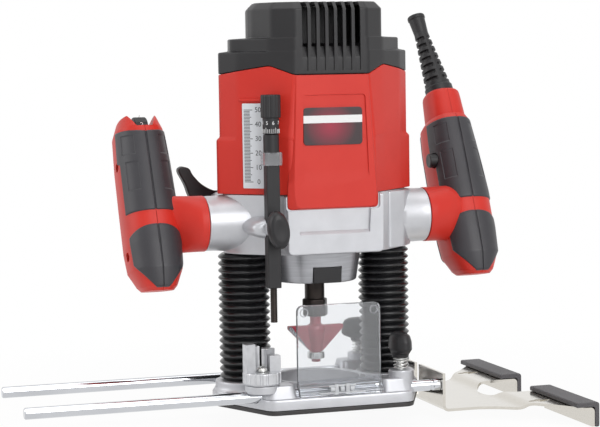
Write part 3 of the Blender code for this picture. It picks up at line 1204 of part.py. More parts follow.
def pivots():
    """An empty on the axis of each moving body, by the nodes that it carries."""
    lock_z = NOSE_FOOT + LOCK_HEIGHT / 2
    right, left = HANDLE_FRAME[1], HANDLE_FRAME[-1]
    return {
        "plunge_head": ((0, 0, CASTING_FOOT), None),
        "spindle_axis": ((0, 0, NOSE_FOOT), ("spindle_shaft", "armature_core", "commutator", "cooling_fan",
                                             "collet", "collet_nut", "router_bit", "pilot_bearing")),
        "spindle_lock_axis": ((0, -NOSE_END_R, lock_z), ("spindle_lock_button",)),
        "turret_axis": ((-TURRET_X, -TURRET_Y, TUNNEL_TOP), ("turret",)),
        "front_clamp_axis": ((CLAMP_X, -ROD_Y, CLAMP_BOSS_TOP), ("front_clamp_knob",)),
        "rear_clamp_axis": ((CLAMP_X, ROD_Y, CLAMP_BOSS_TOP), ("rear_clamp_knob",)),
        "guide_slide": ((TAB_X, 0, ROD_Z), ("front_guide_rod", "rear_guide_rod", "fence_plate",
                                            "front_fence_pad", "rear_fence_pad")),
        "depth_bar_slide": ((-STOP_X, -STOP_Y, BAR_FOOT), ("depth_bar",)),
        "depth_knob_axis": ((-STOP_X, -STOP_Y, STOP_TOP), ("depth_knob",)),
        "depth_cursor_slide": ((-STOP_X, -STOP_Y, STOP_TOP - BARREL_LENGTH), ("depth_cursor",)),
        "depth_clamp_axis": ((-STOP_X, -STOP_Y, depth_clamp_z()), ("depth_clamp_knob",)),
        "lock_lever_axis": ((-LEVER_X, LEVER_BOSS_END, LEVER_Z), ("lock_lever",)),
        "speed_dial_axis": (left @ Vector((0, *DIAL_AT)), ("speed_dial",)),
        "trigger_slide": (right @ Vector((0, HANDLE_HALF_DEPTH, TRIGGER_MIDDLE)), ("trigger",)),
        "lock_button_slide": (right @ Vector((-HANDLE_HALF_WIDTH, *BUTTON_AT)), ("lock_button",)),
    }


def empty(name, place, parent=None):
    obj = bpy.data.objects.new(name, None)
    bpy.context.scene.collection.objects.link(obj)
    obj.location = place
    obj.parent = parent
    return obj


HEAD_WORDS = ("head_casting", "motor_housing", "top_cap", "_plate", "handle", "grip", "cord_gland", "stator",
              "module", "bush", "_bearing", "brush")
BASE_PLATES = ("sole_plate", "fence_plate", "pilot_bearing")


def assemble(pieces):
    """Parents every piece to its body's empty, with its mesh measured from there, and gives it its finish."""
    finishes = make_finishes()
    root = empty("router", (0, SPINDLE_BACK, 0))
    homes = {}
    for name, (place, nodes) in pivots().items():
        anchor = empty(name, place, root)
        if nodes is None:
            head = anchor
        for node in nodes or ():
            homes[node] = anchor
    for piece in pieces:
        in_head = piece.name not in BASE_PLATES and any(word in piece.name for word in HEAD_WORDS)
        home = homes.get(piece.name, head if in_head else root)
        if home is not root:
            piece.data.transform(Matrix.Translation(-home.location))
        piece.parent = home
        piece.data.materials.clear()
        piece.data.materials.append(finishes[finish_name(piece.name)])
        if piece.type == "MESH":
            piece.data.shade_smooth()
            piece.data.set_sharp_from_angle(angle=math.radians(40))


def main():
    clear_scene()
    pieces = [make_sole(), make_base(), make_guard(), make_casting(), make_housing(), make_cap(),
              make_lever(), make_spindle_lock()]
    for group in (make_columns(), make_turret(), make_rod_clamps(), make_fence(), make_plates(),
                  make_handle(-1), make_handle(1), make_motor(), make_cutter(), make_depth_stop()):
        pieces += group
    assemble(pieces)


main()
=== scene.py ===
"""Visual model of a plunge router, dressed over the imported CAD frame.

Pieces are worked out in millimetres about the spindle axis, with the sole's underside at height 0 and the
front towards -Y, and are turned to metres in the frame as they are made.
"""
import math

import bmesh
import bpy
import numpy as np
from mathutils import Matrix


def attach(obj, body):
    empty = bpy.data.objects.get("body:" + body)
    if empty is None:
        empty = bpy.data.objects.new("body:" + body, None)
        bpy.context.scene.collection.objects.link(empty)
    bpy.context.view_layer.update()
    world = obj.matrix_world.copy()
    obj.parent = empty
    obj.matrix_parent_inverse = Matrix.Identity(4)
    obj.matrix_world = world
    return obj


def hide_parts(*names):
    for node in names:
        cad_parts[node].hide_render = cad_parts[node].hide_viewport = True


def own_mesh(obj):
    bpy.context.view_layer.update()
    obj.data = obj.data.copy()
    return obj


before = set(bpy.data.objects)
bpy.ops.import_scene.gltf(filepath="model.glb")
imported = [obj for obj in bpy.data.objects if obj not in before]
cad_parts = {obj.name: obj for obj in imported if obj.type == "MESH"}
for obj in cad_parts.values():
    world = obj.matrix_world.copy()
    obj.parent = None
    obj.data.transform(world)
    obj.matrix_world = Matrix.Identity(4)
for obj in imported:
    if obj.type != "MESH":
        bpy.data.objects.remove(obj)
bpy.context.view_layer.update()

MM = 0.001
SPINDLE_Y = 0.0455
SPINDLE = np.array((0, SPINDLE_Y, 0))  # the spindle axis in the frame
TAU = 2 * math.pi
MERGE = 1e-4  # points closer than this, in millimetres, become one
UPRIGHT = ((1, 0, 0), (0, 1, 0), (0, 0, 1))
TO_FRONT = ((1, 0, 0), (0, 0, 1), (0, -1, 0))  # drawn flat, then stood up to face the front
TO_BACK = ((-1, 0, 0), (0, 0, 1), (0, 1, 0))
TO_RIGHT = ((0, 1, 0), (0, 0, 1), (1, 0, 0))
TO_LEFT = ((0, -1, 0), (0, 0, 1), (-1, 0, 0))
OUTWARD = {-1: TO_LEFT, 1: TO_RIGHT}
SIDES = {"left": -1, "right": 1}
ENDS = {"front": -1, "rear": 1}

# Sizes and places shared by several pieces
COLUMN_X = 52.7
BELLOWS_LOW, BELLOWS_TOP = 17.8, 107.8
ARM_Y, ARM_Z, ARM_END = -3.0, 129.8, 82.3
ROD_Y, ROD_Z = 44.5, 11.4
CLAMP_X = 48.5
TAB_X = 78.0
TURRET = (-53.8, -44.5, 0)
STOP = (-44.5, -45.0)  # the depth bar's axis
STOP_CLAMP = (STOP[0], 0, 128.1)
LEVER = (-60.5, 0, 141)
LOCK_PIN = (0, 0, 88.9)
GUARD_HALF, GUARD_Y = 30.5, -50.5
FACETS = ((27.2, 45.9), (42.1, 34.9), (60.3, 18.7), (70.4, 5.5))
SEAMS = (233.3, 239.8, 236.4, 234.0)

# The handles, and places in a handle's own frame
HANDLE_AT = (118.6, 17, 145)
HANDLE_LEAN = math.radians(25)
HANDLE_FRAME = ((1, 0, 0), (0, math.cos(HANDLE_LEAN), -math.sin(HANDLE_LEAN)),
                (0, math.sin(HANDLE_LEAN), math.cos(HANDLE_LEAN)))
HANDLE_HALF = (20.3, 25.5)
HANDLE_SCREWS = ((0, -4, 25), (0, -4, -42))
DIAL = (0, -6, 52)
BUTTON = (0, -10, 20)
BUTTON_AXES = ((0, 1, 0), (0, 0, 1), (-1, 0, 0))


# Surfaces

def smooth(low, high, value):
    """0 below low, 1 above high, and an S curve between, as 3t^2 - 2t^3."""
    t = np.clip((value - low) / (high - low), 0, 1)
    return t * t * (3 - 2 * t)


def window(low, high, width, value):
    """1 between low and high and 0 outside, with S-shaped sides of a given half-width."""
    return smooth(low - width, low + width, value) - smooth(high - width, high + width, value)


def clustered(low, high, count, breaks, width):
    """Even steps from low to high, with six more close together round each break."""
    extra = (np.asarray(breaks, float)[:, None] + width * np.linspace(-1, 1, 6)).ravel()
    return np.unique(np.clip(np.concatenate((np.linspace(low, high, count), extra)), low, high))


def weave(rows, columns, ring, loop):
    """Corner indices of a grid's quads. A ring joins its last row to its first, a loop its last column."""
    i, j = np.meshgrid(np.arange(rows - (not ring)), np.arange(columns - (not loop)), indexing="ij")
    below, beside = (i + 1) % rows, (j + 1) % columns
    corners = (i * columns + j, i * columns + beside, below * columns + beside, below * columns + j)
    return np.stack(corners, -1).reshape(-1, 4)


def skin(grid, ring=False):
    """A surface through a grid of points, each row a loop. An open run of loops gets flat ends."""
    rows, columns = grid.shape[:2]
    faces = weave(rows, columns, ring, True).tolist()
    if not ring:
        faces += [list(range(columns))[::-1], list(range((rows - 1) * columns, rows * columns))]
    return grid.reshape(-1, 3), faces


def sandwich(outer, inner):
    """Two grids of the same size, joined round their borders into one closed pad."""
    rows, columns = outer.shape[:2]
    count = rows * columns
    quads = weave(rows, columns, False, False)
    number = np.arange(count).reshape(rows, columns)
    border = np.concatenate((number[0, :-1], number[:-1, -1], number[-1, :0:-1], number[:0:-1, 0]))
    ahead = np.roll(border, -1)
    rim = np.stack((border, border + count, ahead + count, ahead), 1)
    faces = np.concatenate((quads, quads[:, ::-1] + count, rim)).tolist()
    return np.concatenate((outer.reshape(-1, 3), inner.reshape(-1, 3))), faces


def joined(*shells):
    """Several shells as one."""
    starts = np.cumsum([0] + [len(points) for points, _ in shells])
    faces = [[corner + int(start) for corner in face]
             for start, (_, shell) in zip(starts, shells) for face in shell]
    return np.concatenate([points for points, _ in shells]), faces


def aimed(shell, axes=UPRIGHT, at=(0, 0, 0)):
    """A shell with its own x, y and z laid along three given axes, and its origin at a given place."""
    return shell[0] @ np.asarray(axes, float) + np.asarray(at, float), shell[1]


def soften(corners, reach, steps=5, closed=True):
    """Corners rounded by parabolas that start and end a reach along both sides, at most 45% of the side."""
    p = np.asarray(corners, float)
    back, ahead = np.roll(p, 1, 0) - p, np.roll(p, -1, 0) - p
    back_length = np.linalg.norm(back, axis=1, keepdims=True)
    ahead_length = np.linalg.norm(ahead, axis=1, keepdims=True)
    reach = np.broadcast_to(np.reshape(np.asarray(reach, float), (-1, 1)), (len(p), 1))
    start = p + back / back_length * np.minimum(reach, 0.45 * back_length)
    end = p + ahead / ahead_length * np.minimum(reach, 0.45 * ahead_length)
    t = np.linspace(0, 1, steps + 1)[None, :, None]
    curve = (1 - t) ** 2 * start[:, None] + 2 * t * (1 - t) * p[:, None] + t ** 2 * end[:, None]
    if closed:
        return curve.reshape(-1, p.shape[1])
    return np.concatenate((p[:1], curve[1:-1].reshape(-1, p.shape[1]), p[-1:]))


def rectangle(left, low, right, high):
    """The corners of a rectangle, anticlockwise."""
    return (left, low), (right, low), (right, high), (left, high)


def level(outline, height):
    """A flat outline as points at one height."""
    return np.column_stack((outline, np.full(len(outline), height)))


def lathe(profile, sides=72, bored=False, lobes=None):
    """(radius, height) pairs turned about Z.

    A bored profile is a closed section. Lobes scale the radius by angle and height."""
    profile = np.asarray(profile, float)
    angle = np.arange(sides) * TAU / sides
    radius = profile[:, :1] * (1 if lobes is None else lobes(angle, profile[:, 1:]))
    radius = np.broadcast_to(radius, (len(profile), sides))
    height = np.broadcast_to(profile[:, 1:], radius.shape)
    return skin(np.stack((radius * np.cos(angle), radius * np.sin(angle), height), -1), ring=bored)


def turned(profile, reach, steps, sides=72, lobes=None):
    """An open profile with its corners rounded, turned about Z."""
    return lathe(soften(profile, reach, steps, False), sides, False, lobes)


def drum(radius, low, high, edge=0.5, sides=72):
    """A turned plug with rounded rims, from its own axis out."""
    return turned(((0, low), (radius, low), (radius, high), (0, high)), edge, 4, sides)


def bore(radius, low, high, sides):
    """A plain round plug to cut with."""
    return drum(radius, low, high, 0.01, sides)


def pipe(outer, inner, low, high, edge=0.4, sides=72):
    """A turned ring with rounded rims."""
    return lathe(soften(((outer, low), (outer, high), (inner, high), (inner, low)), edge, 4), sides, True)


def drawn_in(outline, amount):
    """An anticlockwise outline with each point moved in along the normal of its neighbours' chord."""
    chord = np.roll(outline, -1, 0) - np.roll(outline, 1, 0)
    normal = np.stack((-chord[:, 1], chord[:, 0]), 1)
    return outline + normal / np.linalg.norm(normal, axis=1, keepdims=True) * amount


def slab(outline, low, high, edge=0.5, steps=4):
    """An outline carried from low to high, with its edges rounded over a quarter circle of radius edge."""
    turn = np.linspace(0, math.pi / 2, steps + 1)
    inset = np.concatenate((edge * (1 - np.sin(turn)), edge * (1 - np.cos(turn))))
    height = np.concatenate((low + edge * (1 - np.cos(turn)), high - edge * (1 - np.sin(turn))))
    return skin(np.stack([level(drawn_in(outline, i), z) for i, z in zip(inset, height)]))


def prism(outline, low, high):
    """A plain straight block to cut with."""
    return slab(outline, low, high, 0.01, 1)


def loft(foot, head, low, high, edge, steps=5):
    """A block whose outline runs straight from a foot to a head, with the head's edge rounded over."""
    turn = np.linspace(0, math.pi / 2, steps + 1)
    rows = [level(foot, low)]
    rows += [level(drawn_in(head, edge * (1 - math.cos(t))), high - edge * (1 - math.sin(t))) for t in turn]
    return skin(np.stack(rows))


def run_along(line):
    """How far along a line each of its points lies."""
    return np.concatenate(([0], np.cumsum(np.linalg.norm(np.diff(line, axis=0), axis=1))))


def resampled(outline, count):
    """A closed outline at even steps along its length."""
    loop = np.concatenate((outline, outline[:1]))
    run = run_along(loop)
    at = np.linspace(0, run[-1], count, endpoint=False)
    return np.stack([np.interp(at, run, loop[:, i]) for i in range(loop.shape[1])], 1)


def plate(outline, inside, low, high, edge, top_edge, sides=240):
    """A flat ring with rounded rims: an outline read as distance by angle, and (radius, height) rows inside."""
    dense = resampled(outline, 4000)
    angle = np.arange(sides) * TAU / sides
    bearing, length = np.arctan2(dense[:, 1], dense[:, 0]), np.linalg.norm(dense, axis=1)
    distance = np.interp(angle, bearing, length, period=TAU)
    unit = np.stack((np.cos(angle), np.sin(angle)), 1)
    rim = unit * distance[:, None]
    rows = [level(drawn_in(rim, inset), z) for inset, z in (
        (edge, low), (edge * 0.3, low + edge * 0.3), (0, low + edge), (0, high - top_edge),
        (0.3 * top_edge, high - 0.3 * top_edge), (top_edge, high))]
    rows += [level(unit * radius, z) for radius, z in inside]
    return skin(np.stack(rows), ring=True)


def wire(path, radius, hint, sides=14):
    """A round section carried along a path. The hint is a direction, or one a point, not along the path."""
    ahead = np.gradient(path, axis=0)
    ahead /= np.linalg.norm(ahead, axis=1, keepdims=True)
    hint = np.broadcast_to(np.asarray(hint, float), path.shape)
    side = hint - (hint * ahead).sum(1, keepdims=True) * ahead
    side /= np.linalg.norm(side, axis=1, keepdims=True)
    up = np.cross(ahead, side)
    angle = np.arange(sides) * TAU / sides
    rim = np.cos(angle)[None, :, None] * side[:, None] + np.sin(angle)[None, :, None] * up[:, None]
    return skin(path[:, None] + radius * rim)


def coil(radius, wire_radius, low, high, turns):
    """A helix with its end turns closed up: height runs slowly, then evenly, then slowly."""
    t = np.linspace(0, 1, turns * 36 + 1)
    rise = np.interp(t * turns, (0, 0.75, turns - 0.75, turns), (0, 0.08, 0.92, 1))
    height = low + wire_radius + rise * (high - low - 2 * wire_radius)
    around = t * turns * TAU
    out = np.stack((np.cos(around), np.sin(around), 0 * t), 1)
    return wire(out * radius + np.stack((0 * t, 0 * t, height), 1), wire_radius, out)


def boxes(centres, halves):
    """Small closed boxes, one for each centre and its half sizes."""
    corner = np.array([(x, y, z) for z in (-1, 1) for x, y in ((-1, -1), (1, -1), (1, 1), (-1, 1))])
    points = np.asarray(centres, float)[:, None] + corner * np.asarray(halves, float)[:, None]
    quads = np.array(((3, 2, 1, 0), (4, 5, 6, 7), (0, 1, 5, 4), (1, 2, 6, 5), (2, 3, 7, 6), (3, 0, 4, 7)))
    faces = (np.arange(len(points))[:, None, None] * 8 + quads).reshape(-1, 4).tolist()
    return points.reshape(-1, 3), faces


def mirrored(quarter, draw=4.0):
    """The whole anticlockwise outline from its front right quarter, with the back drawn in at the sides."""
    front = np.array(quarter, float) * (1, -1)
    share = (front[:, 0] - front[0, 0]) / (front[-1, 0] - front[0, 0])
    rear = np.stack((front[:, 0] - draw * share, -front[:, 1]), 1)[::-1]
    right = np.concatenate((front, rear))
    return np.concatenate((right, right[::-1] * (-1, 1)))


# Objects

def linked(name, data):
    """A new object in the scene."""
    obj = bpy.data.objects.new(name, data)
    bpy.context.scene.collection.objects.link(obj)
    return obj


def cleaned(points, faces):
    """A shell as a bmesh, with its doubles merged and its faces turned out."""
    mesh = bpy.data.meshes.new("shell")
    mesh.from_pydata(points.tolist(), [], faces)
    shape = bmesh.new()
    shape.from_mesh(mesh)
    bpy.data.meshes.remove(mesh)
    bmesh.ops.remove_doubles(shape, verts=shape.verts, dist=MERGE)
    bmesh.ops.recalc_face_normals(shape, faces=shape.faces)
    return shape


def bare(points, faces):
    """A plain object for a moment's use."""
    mesh = bpy.data.meshes.new("bare")
    shape = cleaned(points, faces)
    shape.to_mesh(mesh)
    shape.free()
    return linked("bare", mesh)


def read_back(obj):
    """An object's evaluated mesh as points and faces; the object is removed."""
    mesh = bpy.data.meshes.new_from_object(obj.evaluated_get(bpy.context.evaluated_depsgraph_get()))
    points = np.empty(len(mesh.vertices) * 3)
    mesh.vertices.foreach_get("co", points)
    faces = [list(face.vertices) for face in mesh.polygons]
    data = obj.data
    bpy.data.objects.remove(obj)
    (bpy.data.curves if isinstance(data, bpy.types.Curve) else bpy.data.meshes).remove(data)
    bpy.data.meshes.remove(mesh)
    return points.reshape(-1, 3), faces


def carved(shell, *tools):
    """A shell, its overlapping bodies made one, less its tools, by Blender's exact Boolean."""
    body, tool = bare(*shell), bare(*joined(*tools))
    change = body.modifiers.new("cut", "BOOLEAN")
    change.operation, change.solver, change.object, change.use_self = "DIFFERENCE", "EXACT", tool, True
    result = read_back(body)
    mesh = tool.data
    bpy.data.objects.remove(tool)
    bpy.data.meshes.remove(mesh)
    return result


def figures(text, height, thick):
    """Figures as a thin solid, centred on the origin and facing +z, from Blender's own font."""
    curve = bpy.data.curves.new("figures", "FONT")
    curve.body, curve.size, curve.extrude = text, height * 1.38, thick / 2
    curve.align_x, curve.align_y = "CENTER", "CENTER"
    curve.resolution_u = 3
    return read_back(linked("figures", curve))


def make(name, body, finish, *shells, nodes=(), sharp=38):
    """One object from shells in millimetres, set on its body, with its finish as its material; the CAD nodes it
    stands for are hidden.
    """
    whole = bmesh.new()
    mesh = bpy.data.meshes.new(name)
    for points, faces in shells:
        part = bpy.data.meshes.new("part")
        middle = points.mean(0)
        shape = cleaned(points - middle, faces)
        if shape.calc_volume(signed=True) < 0:
            bmesh.ops.reverse_faces(shape, faces=shape.faces)
        shape.transform(Matrix.Translation(middle * MM + SPINDLE) @ Matrix.Scale(MM, 4))
        shape.to_mesh(part)
        shape.free()
        whole.from_mesh(part)
        bpy.data.meshes.remove(part)
    whole.to_mesh(mesh)
    whole.free()
    mesh.materials.append(finish)
    mesh.shade_smooth()
    mesh.set_sharp_from_angle(angle=math.radians(sharp))
    obj = linked(name, mesh)
    flats = obj.modifiers.new("flats", "WEIGHTED_NORMAL")
    flats.keep_sharp, flats.weight = True, 90
    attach(obj, body)
    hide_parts(*nodes)
    return obj


# Materials

def linear(code):
    """An sRGB hex colour as linear red, green, blue and alpha."""
    s = np.array([int(code[i:i + 2], 16) for i in (1, 3, 5)]) / 255
    return (*np.where(s <= 0.04045, s / 12.92, ((s + 0.055) / 1.055) ** 2.4).tolist(), 1.0)


def add(tree, kind, inputs=None, **settings):
    """Adds a node, gives it its settings, and links or sets its inputs."""
    made = tree.nodes.new("ShaderNode" + kind)
    for name, value in settings.items():
        setattr(made, name, value)
    for name, value in (inputs or {}).items():
        if isinstance(value, bpy.types.NodeSocket):
            tree.links.new(value, made.inputs[name])
        else:
            made.inputs[name].default_value = value
    return made


def sums(tree, operation, first, second=0.5):
    """One sum of two values; a sum of one value leaves the second at Blender's own."""
    return add(tree, "Math", {0: first, 1: second}, operation=operation).outputs[0]


def spread(tree, value, low, high, start=0.0, end=1.0):
    """A value between a start and an end, carried over to a range."""
    ends = {"From Min": start, "From Max": end, "To Min": low, "To Max": high}
    return add(tree, "MapRange", {"Value": value, **ends}).outputs["Result"]


def noise(tree, place, scale, detail):
    """Blender's noise at a place."""
    return add(tree, "TexNoise", {"Vector": place, "Scale": scale, "Detail": detail}).outputs["Fac"]


def two_tone(tree, value, colours, ends=(0, 1)):
    """A value as a colour that runs from one tone to another between two ends."""
    ramp = add(tree, "ValToRGB", {"Fac": value})
    for stop, position, colour in zip(ramp.color_ramp.elements, ends, colours):
        stop.position, stop.color = position, linear(colour)
    return ramp.outputs["Color"]


def bumped(tree, value, depth, strength):
    """A normal that reads a value as a height; the depth is in millimetres."""
    made = add(tree, "Bump", {"Height": value, "Distance": depth * MM, "Strength": strength})
    return made.outputs["Normal"]


def feed(tree, shader, **sockets):
    """Links outputs to a shader's inputs by name."""
    for name, socket in sockets.items():
        tree.links.new(socket, shader.inputs[name.replace("_", " ")])


def material(name, **inputs):
    """A new material with its shader's values set, its node tree, its shader, and its place in the object."""
    made = bpy.data.materials.new(name)
    made.use_nodes = True
    tree = made.node_tree
    shader = tree.nodes["Principled BSDF"]
    for key, value in inputs.items():
        value = linear(value) if isinstance(value, str) else value
        shader.inputs[key.replace("_", " ")].default_value = value
    return made, tree, shader, add(tree, "TexCoord").outputs["Object"]


def grained(name, colours, rough, grain, depth, blotch=30.0, **inputs):
    """Moulded or cast stuff: colour drifts between two tones over blotches; grain sets roughness and bump.

    Grain and blotch are sizes in millimetres, depth the bump's height in millimetres."""
    made, tree, shader, place = material(name, **inputs)
    drift = noise(tree, place, 1000 / blotch, 3)
    fine = noise(tree, place, 1000 / grain, 4)
    feed(tree, shader, Base_Color=two_tone(tree, drift, colours, (0.3, 0.7)),
         Roughness=spread(tree, fine, *rough), Normal=bumped(tree, fine, depth, 0.6))
    return made


def lined(name, stretch, colours, rough, depth=0, **inputs):
    """Metal with lines left by its making: noise stretched along them sets tone, roughness and any bump."""
    made, tree, shader, place = material(name, **inputs)
    lines = noise(tree, add(tree, "Mapping", {"Vector": place, "Scale": stretch}).outputs["Vector"], 1.0, 2)
    feed(tree, shader, Base_Color=two_tone(tree, lines, colours), Roughness=spread(tree, lines, *rough))
    if depth:
        feed(tree, shader, Normal=bumped(tree, lines, depth, 0.5))
    return made


def clear_moulding(name, through):
    """Clear moulded polystyrene or polycarbonate: lets most light through, with a milky veil for the rest."""
    made, tree, shader, place = material(name, Base_Color="#F1F3F6", IOR=1.49, Transmission_Weight=through)
    feed(tree, shader, Roughness=spread(tree, noise(tree, place, 60, 2), 0.01, 0.06))
    return made


def badge_print():
    """A printed foil badge: crimson glows out of black from the middle, crossed by one plain white stripe."""
    middle_z, stripe_z, stripe_half = 0.1976, 0.0049, 0.0026
    made, tree, shader, place = material("printed_foil_badge", Roughness=0.3, Coat_Weight=0.4)
    flat = {"Vector": place, "Location": (0, 0, -middle_z), "Scale": (1, 0, 1)}
    middle = add(tree, "Mapping", flat).outputs["Vector"]
    glow = add(tree, "Mapping", {"Vector": middle, "Scale": (52, 0, 60), "Location": (0.1, 0, 0)})
    reach = add(tree, "VectorMath", {0: glow.outputs["Vector"]}, operation="LENGTH").outputs["Value"]
    ground = two_tone(tree, reach, ("#A01338", "#2C171D"))
    height = add(tree, "SeparateXYZ", {"Vector": middle}).outputs["Z"]
    away = sums(tree, "ABSOLUTE", sums(tree, "ADD", height, -stripe_z))
    stripe = sums(tree, "LESS_THAN", away, stripe_half)
    face = add(tree, "Mix", {0: stripe, 6: ground, 7: linear("#ECECEC")}, data_type="RGBA").outputs[2]
    feed(tree, shader, Base_Color=face)
    return made


# ABS, moulded against a spark-eroded tool: an even, satin red. Its 0.3 mm grain is drawn at 1 mm to show.
red_abs = grained("red_abs", ("#CC2C20", "#D13125"), (0.4, 0.5), 1.0, 0.03, IOR=1.44)
# Glass-filled nylon: near black with a grey bloom and a coarser grain where the fibres lie under the skin.
black_nylon = grained("black_glass_filled_nylon", ("#1D1C1E", "#232224"), (0.36, 0.5), 0.9, 0.05, IOR=1.43)
# Thermoplastic rubber, stippled: soft grey highlights, no sharp gloss.
soft_grip = grained("stippled_grip_rubber", ("#333236", "#3A393D"), (0.36, 0.5), 0.8, 0.05, IOR=1.46)
# Bellows rubber, moulded: deep black with a waxy gloss on the ribs.
bellows_rubber = grained("moulded_bellows_rubber", ("#141416", "#1B1B1D"), (0.2, 0.3), 1.2, 0.0, 12, IOR=1.5)
# Die-cast aluminium under silver paint: pale grey, metallic flake, a faint orange peel 1.5 mm across.
silver_paint = grained("silver_painted_casting", ("#BEBFC3", "#C8C9CD"), (0.32, 0.44), 1.5, 0.02, 18,
                       Metallic=0.55)
# Zinc die casting, tumbled: brighter and rougher than the painted casting.
tumbled_zinc = grained("tumbled_zinc", ("#C2C3C6", "#D2D3D6"), (0.28, 0.45), 0.8, 0.05, 6, Metallic=0.8)
# Hard chrome on ground bar: mirror bright, with a faint haze.
chrome = grained("hard_chrome", ("#C4C6CA", "#CED0D4"), (0.07, 0.13), 4.0, 0.0, 40, Metallic=1.0)
# Zinc-plated screws: bright with a dulled skin.
bright_zinc = grained("bright_zinc_plate", ("#C9C9C6", "#DADAD8"), (0.18, 0.32), 1.0, 0.02, 5, Metallic=1.0)
# Phosphated steel: oily brown-black, half matt.
phosphate = grained("phosphated_steel", ("#2B2624", "#37302D"), (0.34, 0.5), 0.7, 0.03, 6, Metallic=0.75)
# Anti-friction paint on the cutter: crimson, satin, thinner towards its edges.
cutter_paint = grained("crimson_cutter_paint", ("#A5283B", "#B23A4C"), (0.3, 0.44), 0.8, 0.03, 8)
# Ground carbide: grey, fine ground lines, bright.
carbide = grained("ground_carbide", ("#8E8E92", "#A5A5A8"), (0.2, 0.34), 0.6, 0.02, 4, Metallic=1.0)
# Polypropylene moulding of the fence pads: dark grey, dull.
pad_plastic = grained("moulded_pad_plastic", ("#4B494C", "#535154"), (0.5, 0.64), 1.0, 0.05)
# Phenolic resin sheet of the sole: brown-black, satin, machined.
sole_resin = grained("phenolic_sole", ("#2C2A2A", "#343131"), (0.4, 0.55), 0.8, 0.03)
# Vinyl label, printed: flat cool white with a thin laminate's gloss.
vinyl = grained("printed_vinyl", ("#DFE2E7", "#E6E9ED"), (0.3, 0.38), 2.0, 0.0)
# Screen-print ink, black and white.
black_ink = grained("black_ink", ("#2E3034", "#35373B"), (0.45, 0.55), 1.0, 0.0)
white_ink = grained("white_ink", ("#E6E6E6", "#F0F0F0"), (0.45, 0.55), 1.0, 0.0)
# Electrical steel laminations, copper and sintered bronze inside the machine.
laminations = grained("stacked_laminations", ("#55585C", "#6A6D70"), (0.35, 0.5), 0.5, 0.05, 3, Metallic=0.9)
copper = grained("wound_copper", ("#A4592F", "#B96C3C"), (0.28, 0.42), 0.6, 0.06, 3, Metallic=1.0)
bronze = grained("sintered_bronze", ("#8A6A3C", "#9C7A48"), (0.4, 0.55), 0.6, 0.04, 4, Metallic=0.9)
# Bare aluminium, turned on a lathe: fine rings round the spindle, 0.25 mm apart, drawn at 0.9 mm to show.
turned_aluminium = lined("turned_aluminium", (40, 40, 1100), ("#94959A", "#BFC0C4"), (0.24, 0.42), 0.03,
                         Metallic=0.75)
# Nickel-plated steel sheet: warm and bright, with rolling lines 0.4 mm apart along X, drawn at 1.2 mm.
nickel = lined("nickel_plated_sheet", (30, 800, 800), ("#C8C4BC", "#DEDAD2"), (0.08, 0.2), Metallic=1.0)
clear_guard = clear_moulding("clear_guard_polycarbonate", 0.91)
clear_cursor = clear_moulding("clear_cursor_polystyrene", 0.88)
clear_clip = clear_moulding("clear_clip_polycarbonate", 0.45)
foil_badge = badge_print()


# Base: sole, casting, columns, bellows and their springs

def slope_x(y):
    """Half-width of the base along its slanting side."""
    return 76 - 24 * (y - 6) / 54


BASE_OUTLINE = soften(mirrored(((52, 60), (76, 6)), 0), (5.8, 1.9, 1.9, 5.8) * 2, 7)


def tunnel_plan(side, end, inner, near, far, draw):
    """Outline of the boss over a rod in one corner of the base, drawn in from its slanting side."""
    plan = ((inner, near), (slope_x(near) - draw, near), (slope_x(far) - draw, far), (inner, far))
    return soften((np.array(plan) * (side, end))[::side * end], 5.5, 6)


def base_shells():
    """The flat rim with the ring round the cutter, and bosses for columns, rods, clamps and turret."""
    ring = ((38, 11), (36.3, 11.5), (35.5, 13), (35.5, 15.7), (34.8, 16.5), (31.8, 16.5), (31, 15.8),
            (31, 3.9), (31.6, 3.3))
    boss = turned(((0, 7.1), (22.9, 7.1), (22.9, 10.8), (21.5, 12.6), (21.5, 17.5), (0, 17.5)),
                  (1, 0.1, 0.1, 2, 1.5, 1), 5)
    shells = [plate(BASE_OUTLINE, ring, 3.3, 11, 0.5, 1.8)]
    for side in (-1, 1):
        shells.append(aimed(boss, at=(side * COLUMN_X, 0, 0)))
        for end in (-1, 1):
            foot = tunnel_plan(side, end, 31, 33, 58.2, 1.2)
            head = tunnel_plan(side, end, 32, 36.5, 53.5, 3.6)
            shells.append(loft(foot, head, 9.4, 19.5, 1.5))
    shells += [aimed(drum(8.5, 14.3, 24.4, 1.2), at=(CLAMP_X, end * ROD_Y, 0)) for end in (-1, 1)]
    shells.append(aimed(drum(12, 14.6, 20.1, 0.8), at=TURRET))
    return joined(*shells)


